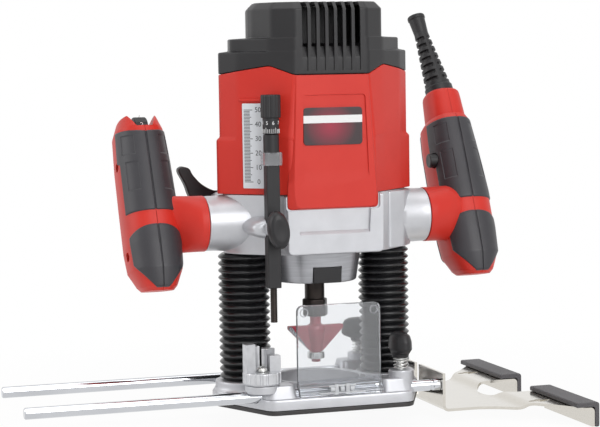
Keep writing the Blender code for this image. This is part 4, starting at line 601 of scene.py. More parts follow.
def build_base():
    """Sole and casting, and on each column a bellows and a spring, each given a mesh of its own."""
    rim = ((29.5, 3), (29, 2.5), (29, 0.5), (29.5, 0))
    make("sole_plate_ring", "base", sole_resin, plate(BASE_OUTLINE, rim, 0, 3, 0.5, 0.5),
         nodes=["sole_plate"])
    tools = [aimed(drum(4.3, -90, 90, 0.1, 40), TO_RIGHT, (0, end * ROD_Y, ROD_Z)) for end in (-1, 1)]
    tools += [aimed(drum(3.3, 12, 30, 0.1, 40), at=(CLAMP_X, end * ROD_Y, 0)) for end in (-1, 1)]
    make("base_frame", "base", silver_paint, carved(base_shells(), *tools), nodes=["base_casting"], sharp=32)
    rib = np.linspace(0, 18, 18 * 12 + 1)
    wave = 1 - np.abs(2 * (rib % 1) - 1) ** 1.45
    outer = np.stack((15.6 + 2.7 * wave, BELLOWS_LOW + 5 * rib), 1)
    inner = np.stack((13.9 + 0.8 * wave, BELLOWS_LOW + 5 * rib), 1)[::-6]
    folds = lathe(np.concatenate((outer, inner)), 72, True)
    spring = coil(11.95, 0.8, BELLOWS_LOW, BELLOWS_TOP, 12)
    for name, side in SIDES.items():
        for piece, finish, shell, node, sharp in (
                ("_bellows_sleeve", bellows_rubber, folds, "_bellows", 60),
                ("_plunge_coil", bright_zinc, spring, "_plunge_spring", 38)):
            soft = make(name + piece, "base", finish, aimed(shell, at=(side * COLUMN_X, 0, 0)),
                        nodes=[name + node], sharp=sharp)
            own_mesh(soft)
        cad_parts[name + "_column"].data.materials[0] = chrome


def oval_knob(half_length, half_width, height):
    """A wing knob: an ellipse whose two half sizes follow one profile up its height, from a round flange."""
    rows, columns = 41, 64
    profile = ((0, 0.6), (0.12, 0.62), (0.2, 0.8), (0.35, 1), (0.68, 0.97), (0.92, 0.82), (1, 0.55))
    t = np.linspace(0, 1, rows)
    kernel = np.array((1, 2, 3, 2, 1)) / 9
    reach = np.convolve(np.pad(np.interp(t, *np.array(profile).T), 2, mode="edge"), kernel, mode="valid")
    round_part = 1 - smooth(0.1, 0.26, t)
    flange = half_width * 1.33 * round_part
    long = reach * (half_length * (1 - round_part) + flange)
    wide = reach * (half_width * (1 - round_part) + flange)
    angle = np.arange(columns) * TAU / columns
    grid = np.stack((long[:, None] * np.cos(angle), wide[:, None] * np.sin(angle),
                     np.broadcast_to((t * height)[:, None], (rows, columns))), -1)
    dip = grid[-1:] * (0.6, 0.6, 1) - (0, 0, 0.35)
    middle = np.zeros((1, columns, 3)) + (0, 0, height - 0.5)
    return skin(np.concatenate((grid, dip, middle)))


def build_guide():
    """Two rods, their clamp knobs and springs, the bent sheet that they carry, and its two pads."""
    rod = lathe(((0, -220), (3.3, -220), (4, -219.2), (4, 70), (3.55, 70.4), (3.55, 72.4), (4, 72.8),
                 (4, 77.7), (0, 77.7)), 64)
    for name, end in ENDS.items():
        place = (CLAMP_X, end * ROD_Y, 0)
        axes = UPRIGHT if end > 0 else ((0, 1, 0), (-1, 0, 0), (0, 0, 1))
        make(name + "_rod", "guide", chrome, aimed(rod, TO_RIGHT, (0, end * ROD_Y, ROD_Z)),
             nodes=[name + "_guide_rod"], sharp=25)
        make(name + "_clamp_wing", name + "_clamp", black_nylon,
             aimed(oval_knob(13.4, 7.4, 17), axes, (*place[:2], 33.1)),
             nodes=[name + "_clamp_knob"], sharp=50)
        make(name + "_clamp_stem", name + "_clamp", bright_zinc,
             aimed(drum(3, 15.7, 33.4, 0.4, 48), at=place))
        make(name + "_clamp_coil", "base", bright_zinc, aimed(coil(4.6, 0.5, 24.7, 32.8, 4), at=place),
             nodes=[name + "_clamp_spring"])
    make("fence_sheet", "guide", nickel, fence_shell(), nodes=["fence_plate"], sharp=30)
    corners = ((156.2, -1.2), (170.3, -1.2), (170.3, -15.3), (173.7, -15.3), (173.7, 2.2), (156.2, 2.2))
    section = soften(corners, (1, 1.2, 1, 1.4, 2.4, 1.4), 4)
    for name, end in ENDS.items():
        low, high = sorted((-end * 26.8, -end * 105.8))
        make(name + "_pad", "guide", pad_plastic, aimed(slab(section, low, high, 0.6), TO_FRONT),
             nodes=[name + "_fence_pad"])


def fence_shell():
    """A bent sheet: a softened path in X and Z, swept across Y to a half-width that flares past the neck."""
    path = ((0, 20), (0, -6.5), (53, -6.5), (57.8, -2.5), (90, -2.5), (90, -15))
    line = soften(path, (0.1, 4, 4, 3, 2.5, 0.1), 8, False)
    run = run_along(line)
    at = np.unique(np.round(np.concatenate((run, np.linspace(0, run[-1], 70))), 2))
    x, z = (np.interp(at, run, line[:, i]) for i in (0, 1))
    ahead = np.gradient(np.stack((x, z), 1), at, axis=0)
    ahead /= np.linalg.norm(ahead, axis=1, keepdims=True)
    half = 51 + 54.5 * np.minimum(1, (np.maximum(0, x - 21) / 62.7) ** 1.9)
    y = half[:, None] * np.linspace(-1, 1, 41)
    faces = []
    for lift in (1, -1):
        px, pz = TAB_X + 1 + x - lift * ahead[:, 1], z + lift * ahead[:, 0]
        faces.append(np.stack(np.broadcast_arrays(px[:, None], y, pz[:, None]), -1))
    t = np.linspace(0, math.pi / 2, 25)
    curve = np.stack((128.5 + 20 * (1 - np.cos(t)), 26.5 * np.sin(t)), 1)
    curve = np.concatenate((curve, ((176, 26.5),)))
    notch = np.concatenate((curve * (1, -1), curve[:0:-1]))
    relief = boxes([(79, 0, 20)], [(6, 4, 22.5)])
    holes = (((-6.5, -2.2), (6.5, -2.2), (8.7, 0), (6.5, 2.2), (-6.5, 2.2), (-8.7, 0)),
             rectangle(-2.6, -4.6, 2.6, 4.6))
    slots = [aimed(prism(soften(plan, 1.2, 3), -9, 3), at=(146, end * 66, 0))
             for end in (-1, 1) for plan in holes]
    return carved(sandwich(*faces), prism(notch, -30, 12), relief, *slots)


def build_turret():
    """A notched disc with four sector steps, and the screw that it turns on."""
    notches = lambda angle, z: 1 - 0.045 * (np.cos(angle * 20) > 0.45) * (z > 21.8)
    disc = ((0, 20.4), (12.4, 20.4), (13.5, 21.6), (13.5, 29.1), (0, 29.1))
    shells = [turned(disc, (1, 0.4, 0.4, 0.8, 1), 4, 192, notches)]
    for angle, height in ((180, 19.7), (112, 17), (52, 15), (0, 11)):
        turn = np.radians(angle + np.linspace(-22, 22, 6))
        rim = np.stack((np.cos(turn), np.sin(turn)), 1)
        plan = np.concatenate((rim * 13.2, rim[::-1] * 5.5))
        shells.append(slab(plan, 27, 29.1 + height, 0.5))
    make("turret_steps", "turret", tumbled_zinc,
         aimed(carved(joined(*shells), bore(2.3, 10, 40, 32)), at=TURRET), nodes=["turret"], sharp=30)
    pan = turned(((0, 16.6), (2, 16.6), (2, 29.4), (4, 29.4), (4, 31.4), (0, 33.4)),
                 (1, 0.2, 0.2, 0.3, 1.6, 1), 5, 48)
    cross = boxes([(0, 0, 33.4)] * 2, [(2.4, 0.45, 1.3), (0.45, 2.4, 1.3)])
    make("turret_pivot_screw", "base", bright_zinc, aimed(carved(pan, cross), at=TURRET),
         nodes=["turret_screw"], sharp=30)


def build_guard():
    """A clear pane with two eyelets, on a sloping foot that is clipped to the base."""
    pane = soften(rectangle(-GUARD_HALF, 16.3, GUARD_HALF, 74.5), (1, 1, 5, 5), 8)
    make("guard_pane", "base", clear_guard, aimed(slab(pane, 0, 3, 0.5), TO_FRONT, (0, GUARD_Y, 0)),
         nodes=["chip_guard"], sharp=10)
    foot = soften(((-58.5, 11.3), (-53.6, 11.3), (-53.6, 22.3), (-58.5, 13.3)), 0.6, 4)
    make("guard_foot", "base", clear_guard, aimed(slab(foot, -GUARD_HALF, GUARD_HALF, 0.35), TO_RIGHT),
         sharp=10)
    for name, side in SIDES.items():
        make(name + "_guard_eyelet", "base", clear_cursor,
             aimed(pipe(3.1, 2.3, 3.05, 3.5, 0.2, 48), TO_FRONT, (side * 25.5, GUARD_Y, 69.5)))
    clip = [boxes([(x, -57.6, 15.6)], [(1.3, 1.5, 3.6)]) for x in (-4.0, 4.0)]
    clip += [boxes([(0, -58.9, z)], [(half, 0.45, 0.5)]) for z, half in ((13.2, 17), (18.2, 10))]
    clip += [aimed(pipe(2.3, 1.1, -1.5, 1.5, 0.4, 32), TO_RIGHT, (x, -57.4, 15.8)) for x in (-7.2, 0, 7.2)]
    make("guard_clip", "base", clear_clip, *clip)


# Head: casting, housing, cap and plates

CORNERS = np.array((2.2, 3, 3, 3, 2.5, 3, 3, 2.2) * 2)  # how far each corner of the head's outline is rounded


def tower(rows, reach, steps=5):
    """A surface through rows of corners, each row rounded at its corners the same way."""
    return skin(np.stack([soften(row, reach, steps) for row in rows]))


def ring_at(quarter, z, inset=0.0, front=None):
    """The whole outline of a quarter's corners at a height, moved in by an inset along its corner normals."""
    outline = mirrored(quarter)
    before = outline - np.roll(outline, 1, 0)
    after = np.roll(outline, -1, 0) - outline
    before, after = (v / np.linalg.norm(v, axis=1, keepdims=True) for v in (before, after))
    out = np.stack((before[:, 1] + after[:, 1], -before[:, 0] - after[:, 0]), 1)
    outline = outline - out * np.reshape(inset, (-1, 1)) / (1 + (before * after).sum(1, keepdims=True))
    if front is not None:
        outline[:, 1] = np.maximum(outline[:, 1], -front)
    return np.column_stack((outline, np.broadcast_to(z, len(outline))))


def casting_shells():
    """The block with its arms, the depth clamp's boss, the right cheek, the lever's boss and the lip."""
    rows = [ring_at(FACETS, z, 0.9 + inset, 43.5 - inset) for inset, z in (
        (1.6, 108.1), (0.5, 108.5), (0, 109.7), (0, 149.2), (0.3, 150), (0.9, 150.3))]
    arm = turned(((0, 40), (21.5, 50), (19.3, 74), (19.3, ARM_END), (0, ARM_END)), (1, 1, 12, 0.8, 1), 8, 96)
    dome, faces = turned(((0, 15), (7.7, 15), (7.7, 38), (6.4, 46.4), (0, 47.4)), (1, 0.5, 7, 4, 1), 8, 80)
    cheek = soften(((46, -31.2), (61.8, -22.6), (70.9, -9.5), (70.9, 8), (46, 8)), 3.5, 6)
    lip = soften(((-33.4, 108.6), (36.8, 108.6), (37.6, 149.6), (-34.2, 149.6)), (4, 4, 1.8, 1.8), 6)
    return joined(
        tower(rows, 6),
        *(aimed(arm, OUTWARD[side], (0, ARM_Y, ARM_Z)) for side in (-1, 1)),
        aimed((dome * (2.0, 1, 1), faces), TO_FRONT, STOP_CLAMP),
        aimed(drum(6.4, 36, 52.5, 0.6), TO_FRONT, STOP_CLAMP),
        slab(cheek, 109.2, 149.5, 1.0),
        aimed(drum(8, 0, 35.7, 0.8, 56), TO_BACK, LEVER),
        aimed(slab(lip, 38, 46, 1.1, 5), TO_FRONT))


def casting_tools():
    """Bores for motor, bearing, spindle, columns, bar, clamp and lever, and the front recess."""
    tools = [bore(37.5, 111.6, 160, 96), bore(17.8, 91.3, 160, 72), bore(8.5, 80, 160, 48)]
    tools += [aimed(bore(12.4, 100, 160, 64), at=(side * COLUMN_X, 0, 0)) for side in (-1, 1)]
    tools.append(boxes([(*STOP, 130)], [(5.0, 4.5, 40)]))
    floor, mouth = (soften(((-25.2, z), (26.4, z), (28.6, 156), (-25.2, 156)), 1.2, 4)
                    for z in (124.8, 122.4))
    panel = skin(np.stack([level(floor, 43.6), level(mouth, 46.05), level(mouth, 60)]))
    seat = soften(rectangle(-34.4, 139.2, 34.4, 157), 3, 4)
    return tools + [aimed(panel, TO_FRONT), aimed(prism(seat, 44.1, 61), TO_FRONT),
                    aimed(bore(3.3, 40, 60, 40), TO_FRONT, STOP_CLAMP),
                    aimed(bore(4.3, 23.4, 50, 40), TO_BACK, LEVER)]


def build_casting():
    """The painted block, the bare nose turned round the spindle, and the spindle lock in the nose's front."""
    block = carved(casting_shells(), *casting_tools())
    make("head_block", "head", silver_paint, block, nodes=["head_casting"], sharp=32)
    nose = soften(((30, 86.1), (33.5, 108.4), (33.5, 111), (17.8, 111), (17.8, 91.3), (8.5, 91.3),
                   (8.5, 86.1)), (1.2, 1, 0.2, 0.2, 0.2, 0.2, 0.4), 4)
    slot = boxes([(0, -30, 90)], [(10.7, 10.7, 8)])
    pin = aimed(bore(2.5, 5, 34, 32), TO_FRONT, LOCK_PIN)
    make("spindle_nose", "head", turned_aluminium, carved(lathe(nose, 120, True), slot, pin), sharp=30)
    lock = soften(rectangle(-10.4, 86.4, 10.4, 97.7), 1.2, 4)
    make("spindle_lock_block", "spindle_lock", black_nylon, aimed(slab(lock, 23.3, 30.3, 0.6), TO_FRONT),
         aimed(drum(2.2, 12.3, 24, 0.2, 32), TO_FRONT, LOCK_PIN), nodes=["spindle_lock_button"])


def build_housing():
    """The faceted red shell, wider below its shoulder, and the raised front panel with its sunk field."""
    seams = np.array((SEAMS + SEAMS[::-1]) * 2)
    middle = np.array(FACETS) + ((3.8, 0), (0, 0), (0, 0), (0, 0))
    wide = middle + ((0, 0), (0, 0), (0, 0), (2.4, 0))
    rows = [ring_at(wide, z, inset)
            for inset, z in ((0.7, 150.6), (0.2, 150.8), (0, 151.3), (0, 187.4), (0.25, 188.4))]
    rows += [ring_at(middle, 190.2, -0.15), ring_at(middle, 191.2)]
    rows += [ring_at(FACETS, z, inset) for inset, z in (
        (0, seams - 0.8), (0.25, seams - 0.2), (0.8, seams), (3.5, seams), (3.5, 230.6))]
    tools = [bore(40, 140, 221.6, 96), bore(11.3, 215, 240, 48)]
    tools += [aimed(bore(11.2, 140, 202, 64), at=(side * COLUMN_X, 0, 0)) for side in (-1, 1)]
    shell = carved(tower(rows, CORNERS, 6), *tools)
    make("housing_shell", "head", red_abs, shell, nodes=["motor_housing"], sharp=28)
    reach = (3.5, 3.5, 8, 0.4, 0.4, 8)
    back = ((-33.3, 140.1), (33.3, 140.1), (33.3, 152), (27.4, 232.8), (-27.4, 232.8), (-33.3, 152))
    front = ((-27.2, 141.6), (30.6, 141.4), (31.2, 152), (25.6, 232.8), (-26, 232.8), (-28.8, 154))
    back, front = soften(back, reach, 6), soften(front, reach, 6)
    rows = [level(back + (front - back) * t, out) for t, out in (
        (0, 44.3), (0, 44.5), (0.05, 44.9), (0.9, 46.9), (0.97, 47.05), (1.08, 47.1))]
    recess = soften(((-23.3, 160.5), (26.2, 160), (23.8, 219.5), (-21.2, 219.5)), 2.5, 5)
    floor = soften(((-23.3, 167), (26.2, 167), (23.8, 219.2), (-21.2, 219.2)), 2.5, 5)
    field = skin(np.stack([level(floor, 45.8), level(recess, 47.2), level(recess, 50.0)]))
    make("housing_front_panel", "head", red_abs,
         carved(aimed(skin(np.stack(rows)), TO_FRONT), aimed(field, TO_FRONT)), sharp=24)
    build_cap(seams)


def build_cap(seams):
    """Three tiers of outlines that share front and back facets, lofted, hollowed and cut by air slots."""
    low_tier, mid_tier, top_tier = tiers = (
        FACETS, ((26.8, 45.9), (41.6, 34.9), (56, 18), (63, 10)),
        ((26.2, 45.9), (40.9, 34.7), (47.8, 14), (48.5, 4)))
    tops = (249.4, 258.6, 283.6)
    wall = 2.6
    steps = np.array((0, 0, 1, 1, 1, 1, 0, 0) * 2)
    rows = [ring_at(tier, z, wall) for tier, z in (
        (top_tier, 281), (top_tier, 258.6), (mid_tier, 256.2), (mid_tier, 249.6), (low_tier, 246.8),
        (low_tier, seams + 0.3))]
    rows += [ring_at(low_tier, seams + z, inset) for inset, z in ((0.7, 0.3), (0.2, 0.5), (0, 1.1))]
    bevel = ((0, -1.2), (0.1, -0.75), (0.36, -0.36), (0.75, -0.1), (1.2, 0))
    for i in (0, 1):
        rows += [ring_at(tiers[i], tops[i] + z, inset * steps) for inset, z in bevel]
        rows += [ring_at(tiers[i + 1], tops[i] + 0.65, -0.5 * steps), ring_at(tiers[i + 1], tops[i] + 1.2)]
    rows += [ring_at(top_tier, tops[2] + z, inset)
             for inset, z in ((0, -5.6), (0.12, -5.0), (0.5, -4.3), (4.0, -0.7), (4.7, -0.15), (5.4, 0))]
    section = ((52, 290), (33, 290), (33, 253.4), (41.5, 252.6), (45.0, 244.6), (45.0, 236.2), (52, 236.2))
    ramp = slab(soften(rectangle(-24, 34.5, 24, 44.6), 1, 3), 240.5, 255, 0.4)
    tools, ramps = [], []
    for axes in (TO_FRONT, TO_BACK):
        ramps.append(aimed(ramp, ((1, 0, 0), (0, axes[2][1], 0), (0, 0, 1))))
        for i in range(-3, 4):
            cut = np.array([[(i * 6.4 + half, z, y) for y, z in section] for half in (-2.05, 2.05)])
            tools.append(aimed(skin(cut), axes))
    make("vent_cap", "head", black_nylon, carved(joined(tower(rows, CORNERS * 0.9, 5), *ramps), *tools),
         nodes=["top_cap"], sharp=30)
    # Painted shade: a plain black sheet across the middle of the hollow cap, so that the vent slots look dark
    # inside instead of showing through to the back ones.
    shade_sheet = soften(rectangle(-46, -1.5, 46, 1.5), 0.8, 3)
    make("vent_shade_sheet", "head", black_nylon, slab(shade_sheet, 230.7, 280.8, 0.4))


# Handles

# Height, then how full the handle is on its outer side, its inner side, and front to back
FOOT = ((-66.4, 0.55, 0.55, 0.62), (-63.5, 0.67, 0.67, 0.77), (-52, 0.93, 0.93, 0.955),
        (-36, 0.985, 0.985, 0.99))
END_FACETS = {-1: np.array(FOOT + ((-5, 0.975, 0.985, 1), (25, 0.96, 0.94, 0.98), (50, 0.9, 0.86, 0.95),
                                   (59.8, 0.72, 0.7, 0.8), (62.2, 0.56, 0.55, 0.64))),
              1: np.array(FOOT + ((-8, 0.99, 0.99, 1), (12, 0.92, 0.985, 0.99), (34, 0.83, 0.975, 0.97),
                                  (50, 0.76, 0.92, 0.93), (53.4, 0.68, 0.8, 0.86), (55.5, 0.5, 0.55, 0.6)))}
# Height and fullness of the neck under the cord gland
NECK = ((46, 0.94), (53.6, 0.99), (62, 0.955), (70, 0.925), (74, 0.905), (75.6, 0.88),
        (76.6, 0.83), (77, 0.76))
TRIGGER_GAP = boxes([(0, 30, 16)], [(5.8, 21.3, 20.1)])
BUTTON_HOLE = aimed(bore(5.8, 8, 30, 48), BUTTON_AXES, BUTTON)


def handle_skin(angle, s, inset, side, half=HANDLE_HALF, share=None):
    """The handle's surface by angle and height: a superellipse of power 2.4, drawn in by an inset.

    Its half sizes follow straight facets between heights, and its foot is cut aslant, lower in front."""
    at, outer, inner, deep = END_FACETS[side].T
    c, n = np.cos(angle), np.sin(angle)
    across = np.where(c * side > 0, np.interp(s, at, outer), np.interp(s, at, inner))
    shares = (across, np.interp(s, at, deep)) if share is None else (share, share)
    x = np.sign(c) * np.abs(c) ** (2 / 2.4) * (half[0] * shares[0] - inset)
    y = np.sign(n) * np.abs(n) ** (2 / 2.4) * (half[1] * shares[1] - inset)
    slant = 0.28 * (1 - smooth(-66, -34, s))
    return np.stack(np.broadcast_arrays(x, y, s + slant * y), -1)


def placed(shell, side):
    """A shell in a handle's own frame, set on its side of the machine."""
    return aimed(shell, HANDLE_FRAME, (side * HANDLE_AT[0], *HANDLE_AT[1:]))


def collar(side):
    """The round neck from the arm to the handle: a turned profile, its front half flattened by an S curve
    until it sinks into the handle."""
    ends, most = {-1: (((20.2, 103), (19.4, 110), (0, 111)), 0.72),
                  1: (((20.2, 102), (16, 110.5), (0, 112)), 0.34)}[side]
    profile = ((0, 82.6), (19.7, 82.6), (19.7, 90), (19.9, 96)) + ends
    neck = turned(profile, (1, 0.6, 3, 3, 3, 1, 1), 8, 120)
    points, faces = aimed(neck, OUTWARD[side], (0, ARM_Y, ARM_Z))
    flat = most * smooth(84, 108, np.abs(points[:, 0])) * (points[:, 1] < ARM_Y)
    points[:, 1] = ARM_Y + (points[:, 1] - ARM_Y) * (1 - flat)
    return points, faces


def grip_patch(side, towards, low, high, span, pads):
    """An inlaid rubber pad on a handle's front or back, by angle a and height v, each across its whole span.

    Its rim rolls under over 1.5 mm, a seam runs down its middle, and shallow fields lie on both sides."""
    a = clustered(-1, 1, 57, (-0.985, -0.72, -0.3, 0, 0.3, 0.72, 0.985), 0.014)
    edges = [edge for pad in pads for edge in pad]
    v = clustered(0, 1, 61, [0.008, 0.992] + edges, 0.012)[:, None]
    s = low(a) + (high(a) - low(a)) * v
    reach = np.radians(span(s))
    rim = np.minimum((1 - np.abs(a)) * reach * 24, np.minimum(s - low(a), high(a) - s))
    inset = 1.3 * (1 - np.sqrt(1 - (1 - np.clip(rim / 1.5, 0, 1)) ** 2)) - 0.4
    inset = inset + 0.75 * (1 - smooth(0.004, 0.013, np.abs(a)))
    for pad in pads:
        inset = inset + 0.5 * window(0.3, 0.72, 0.008, np.abs(a)) * window(*pad, 0.008, v)
    angle = math.pi / 2 * towards + reach * a
    return sandwich(handle_skin(angle, s, inset, side), handle_skin(angle, s, 2.4, side))


def handle_shell(side, away):
    """Half a handle, on one side of its seam: the inner half has the collar, the outer the screw holes."""
    inner = away != side
    facets = END_FACETS[side][:, 0]
    heights = clustered(facets[0], facets[-1], 40, facets[1:-1], 0.8)
    angle = np.linspace(-math.pi / 2, math.pi / 2, 61)
    ring = angle if away > 0 else angle + math.pi
    body = handle_skin(ring[None], heights[:, None], 0.5, side)
    body[..., 0] += away * 0.15
    shells = [skin(body)]
    if side > 0:
        s, share = np.array(NECK).T[..., None]
        shells.append(skin(handle_skin(ring[None], s, 0, side, (14.6, 17), share)))
        tools = [TRIGGER_GAP] + [BUTTON_HOLE] * inner
    else:
        trough = soften(((-5.8, 49.2), (5.8, 49.2), (12.6, 66), (-12.6, 66)), 1, 4)
        tools = [boxes([(0, -6, 53)], [(5.2, 12, 16)]), aimed(prism(trough, -12, 32), TO_FRONT)]
    if not inner:
        tools += [aimed(bore(3.3, 12, 30, 40), OUTWARD[side], place) for place in HANDLE_SCREWS]
    shells, tools = [placed(joined(*shells), side)], [placed(joined(*tools), side)]
    if inner:
        shells.append(collar(side))
        tools.append(boxes([(side * 218.45, *HANDLE_AT[1:])], [(100, 100, 100)]))
    return carved(joined(*shells), *tools)


def build_handle(name, side):
    """Two red shells that meet on a seam, their screws, and rubber pads inlaid front and back."""
    for where, away in (("inner", -side), ("outer", side)):
        make(f"{name}_handle_{where}_shell", "head", red_abs, handle_shell(side, away),
             nodes=[f"{name}_handle_{where}"], sharp=24)
    heads = [aimed(drum(2.9, 10.5, 13.2, 0.4, 40), OUTWARD[side], place) for place in HANDLE_SCREWS]
    make(name + "_handle_screws", "head", phosphate, placed(joined(*heads), side))
    top = (lambda a: 45.2 + 5 * np.abs(a) ** 1.3) if side < 0 else (lambda a: 49.8 - 0.5 * a * a)
    waist = lambda a: -15 + a * a, lambda a: -25 - 6 * a * a
    heel = lambda a: -64.6 + 15 * np.clip((np.abs(a) - 0.25) / 0.75, 0, 1)
    spans = {-1: (lambda s: 69 + 11 * smooth(24, 26.5, s), lambda s: 66 + 0 * s),
             1: (lambda s: 56 + 0 * s, lambda s: 56 + 0 * s)}
    upper, lower = [], []
    for towards, (wide, narrow) in spans.items():
        fields = ((0.26, 0.6), (0.7, 0.93))
        upper.append(placed(grip_patch(side, towards, waist[0], top, wide, fields), side))
        lower.append(placed(grip_patch(side, towards, heel, waist[1], narrow, ()), side))
    if side > 0:
        upper = [carved(pad, placed(gap, side)) for pad, gap in zip(upper, (BUTTON_HOLE, TRIGGER_GAP))]
    for place, pads in (("upper", upper), ("lower", lower)):
        make(f"{name}_{place}_grip_pads", "head", soft_grip, *pads, nodes=[f"{name}_{place}_grip"], sharp=60)


def build_controls():
    """Speed dial, trigger, lock button, cord gland and plunge-lock lever."""
    teeth = lambda angle, z: 1 - 0.025 * (np.cos(angle * 30) > 0.2) * (np.abs(z) < 4.0)
    dial = ((0, -4.8), (9.1, -4.8), (9.8, -4.1), (9.8, 4.1), (9.1, 4.8), (0, 4.8))
    make("speed_dial_wheel", "speed_dial", black_nylon,
         placed(aimed(turned(dial, 0.4, 3, 240, teeth), TO_RIGHT, DIAL), -1), nodes=["speed_dial"], sharp=30)
    marks = []
    for i in range(6):
        turn = math.radians(64 - 60 * i)
        up = (0, -math.sin(turn), math.cos(turn))
        out = np.array((0, -math.cos(turn), math.sin(turn)))
        mark = aimed(figures(str(i + 1), 3.5, 0.1), ((1, 0, 0), up, out), np.array(DIAL) + 9.82 * out)
        marks.append(placed(mark, -1))
    make("speed_dial_figures", "speed_dial", white_ink, *marks)
    blade = soften(((14, -3.5), (28.2, -3.5), (30, 16), (28.2, 35.5), (14, 35.5)), (2.4, 3, 12, 3, 2.4), 8)
    make("trigger_blade", "trigger", black_nylon, placed(aimed(slab(blade, -5.2, 5.2, 1.4), TO_RIGHT), 1),
         nodes=["trigger"])
    button = turned(((0, 13), (5.2, 13), (5.2, 23.5), (0, 23.0)), (0.1, 0.5, 1.2, 0.1), 5, 64)
    make("lock_button_cap", "lock_button", black_nylon, placed(aimed(button, BUTTON_AXES, BUTTON), 1),
         nodes=["lock_button"], sharp=34)
    tilt = math.radians(7.5)
    lean = ((math.cos(tilt), 0, math.sin(tilt)), (0, 1, 0), (-math.sin(tilt), 0, math.cos(tilt)))
    make("cord_gland_boot", "head", black_nylon, placed(aimed(gland_shell(), lean, (0, 0, 78.23)), 1),
         nodes=["cord_gland"], sharp=30)
    outline = ((9, 0), (6, 9.5), (-1.3, 8.3), (-7.2, 10.7), (-13.1, 14.6), (-19, 21.3), (-20.7, 25.7),
               (-26.3, 27.3), (-29.3, 25.3), (-29.1, 22.4), (-26.5, 17.9), (-23.9, 12.8), (-21.5, 5),
               (-14, -2.5), (-4, -9), (7, -8))
    plan = soften(np.array(outline) * (-1, 1), 3, 5)[::-1]
    make("plunge_lock_lever", "lock_lever", black_nylon, aimed(slab(plan, 36, 44, 1.2, 5), TO_BACK, LEVER),
         aimed(drum(4, 23.7, 40, 0.3, 40), TO_BACK, LEVER), nodes=["lock_lever"])


def gland_shell():
    """A ribbed boot: a taper from 9.6 to 5.4, cut by seven ring grooves that stop at a spine front and back,
    and a plain tail with a flared mouth."""
    start, pitch, sides = 7.8, 5.76, 72
    z = clustered(0, 65, 120, [start + pitch * (i + e) for i in range(7) for e in (0.14, 0.62)], 0.3)
    angle = np.arange(sides) * TAU / sides
    taper = 9.6 - 4.2 * np.clip((z - start) / 42, 0, 1) + 0.9 * np.clip((z - 50) / 13, 0, 1)
    taper = taper - 0.4 * smooth(64.2, 65, z) + 0.45 * smooth(61.6, 62.4, z) + (1 - smooth(4.5, 5.5, z))
    groove = window(0.14, 0.62, 0.05, ((z - start) / pitch) % 1) * ((z > start) & (z < 48.1))
    spine = window(0.26, 1.0, 0.06, np.abs(np.cos(angle)))
    radius = taper[:, None] - 1.9 * groove[:, None] * spine
    z, radius = np.concatenate((z, (65.0, 30.0))), np.concatenate((radius, np.full((2, sides), 4.0)))
    rim = (radius * np.cos(angle), radius * np.sin(angle), np.broadcast_to(z[:, None], radius.shape))
    return skin(np.stack(rim, -1))


# Spindle and depth stop

def build_spindle():
    """Spindle, hexagon nut, and the cutter with its two carbide tips and its pilot bearing."""
    shaft = ((0, 86.1), (5.6, 86.1), (5.6, 62), (6.3, 62), (6.3, 72.6), (7.1, 72.6), (7.1, 86.4), (8.2, 86.4),
             (8.2, 103.9), (10.06, 103.9), (10.06, 106.9), (6, 106.9), (6, 221), (4, 221), (4, 228.9),
             (0, 228.9))
    make("spindle_bar", "spindle", phosphate, turned(shaft, 0.15, 2, 64), nodes=["spindle_shaft"], sharp=30)
    turn = np.arange(6) * TAU / 6
    hexagon = soften(9.6 * np.stack((np.cos(turn), np.sin(turn)), 1), 1.8, 4)
    nut = carved(slab(hexagon, 60, 72.3, 0.9), bore(6.6, 61.4, 80, 48), bore(4.6, 50, 64, 48))
    make("collet_nut_hex", "spindle", phosphate, nut, nodes=["collet_nut"], sharp=30)
    core = ((0, 26.6), (3.25, 26.6), (3.25, 28.8), (2.6, 28.8), (2.6, 34), (4.6, 34), (6.9, 50.5), (6, 53),
            (4, 54.2), (4, 83.8), (0, 83.8))
    half = np.array(((20.4, 53), (20.4, 50.5), (4.6, 34.3)))
    wing = np.concatenate((half, half[::-1] * (-1, 1)))[::-1]
    make("cutter_body", "spindle", cutter_paint, turned(core, 0.3, 3, 48),
         aimed(slab(soften(wing, 0.8, 3), -2.2, 2.2, 0.3), TO_FRONT), nodes=["router_bit"], sharp=34)
    tips = []
    for side in (-1, 1):
        edge = np.array(((20.3, 52.6), (20.3, 50.4), (5.4, 34.9), (7.4, 37.4), (18.2, 52.6))) * (side, 1)
        low, high = sorted((side * -1.0, side * -2.5))
        tips.append(aimed(slab(edge[::-side], low, high, 0.1, 1), TO_FRONT))
    make("cutter_tips", "spindle", carbide, *tips)
    make("pilot_race", "spindle", bright_zinc, pipe(6.2, 4.9, 29.1, 33.7, 0.5),
         pipe(4.2, 2.9, 29.1, 33.7, 0.3), pipe(4.95, 4.15, 29.5, 33.3, 0.1),
         nodes=["pilot_bearing"], sharp=30)


def knob_marks():
    """25 ticks round the fine-adjustment knob, every fifth longer, and eight figures over them."""
    radius, foot = 5.68, 193.9
    marks = []
    for i in range(25):
        turn = i * TAU / 25
        spoke = np.array((np.cos(turn), np.sin(turn), 0))
        start = spoke * radius + (0, 0, foot)
        marks.append(wire(np.stack((start, start + (0, 0, 2.9 if i % 5 else 3.9))), 0.2, spoke, 4))
    for i in range(8):
        around = math.radians(45 * i)
        out = np.array((math.cos(around), math.sin(around), 0))
        across = np.array((-math.sin(around), math.cos(around), 0))
        marks.append(aimed(figures(str(i), 2.6, 0.1), (across, (0, 0, 1), out), out * 5.7 + (0, 0, 200.9)))
    return marks


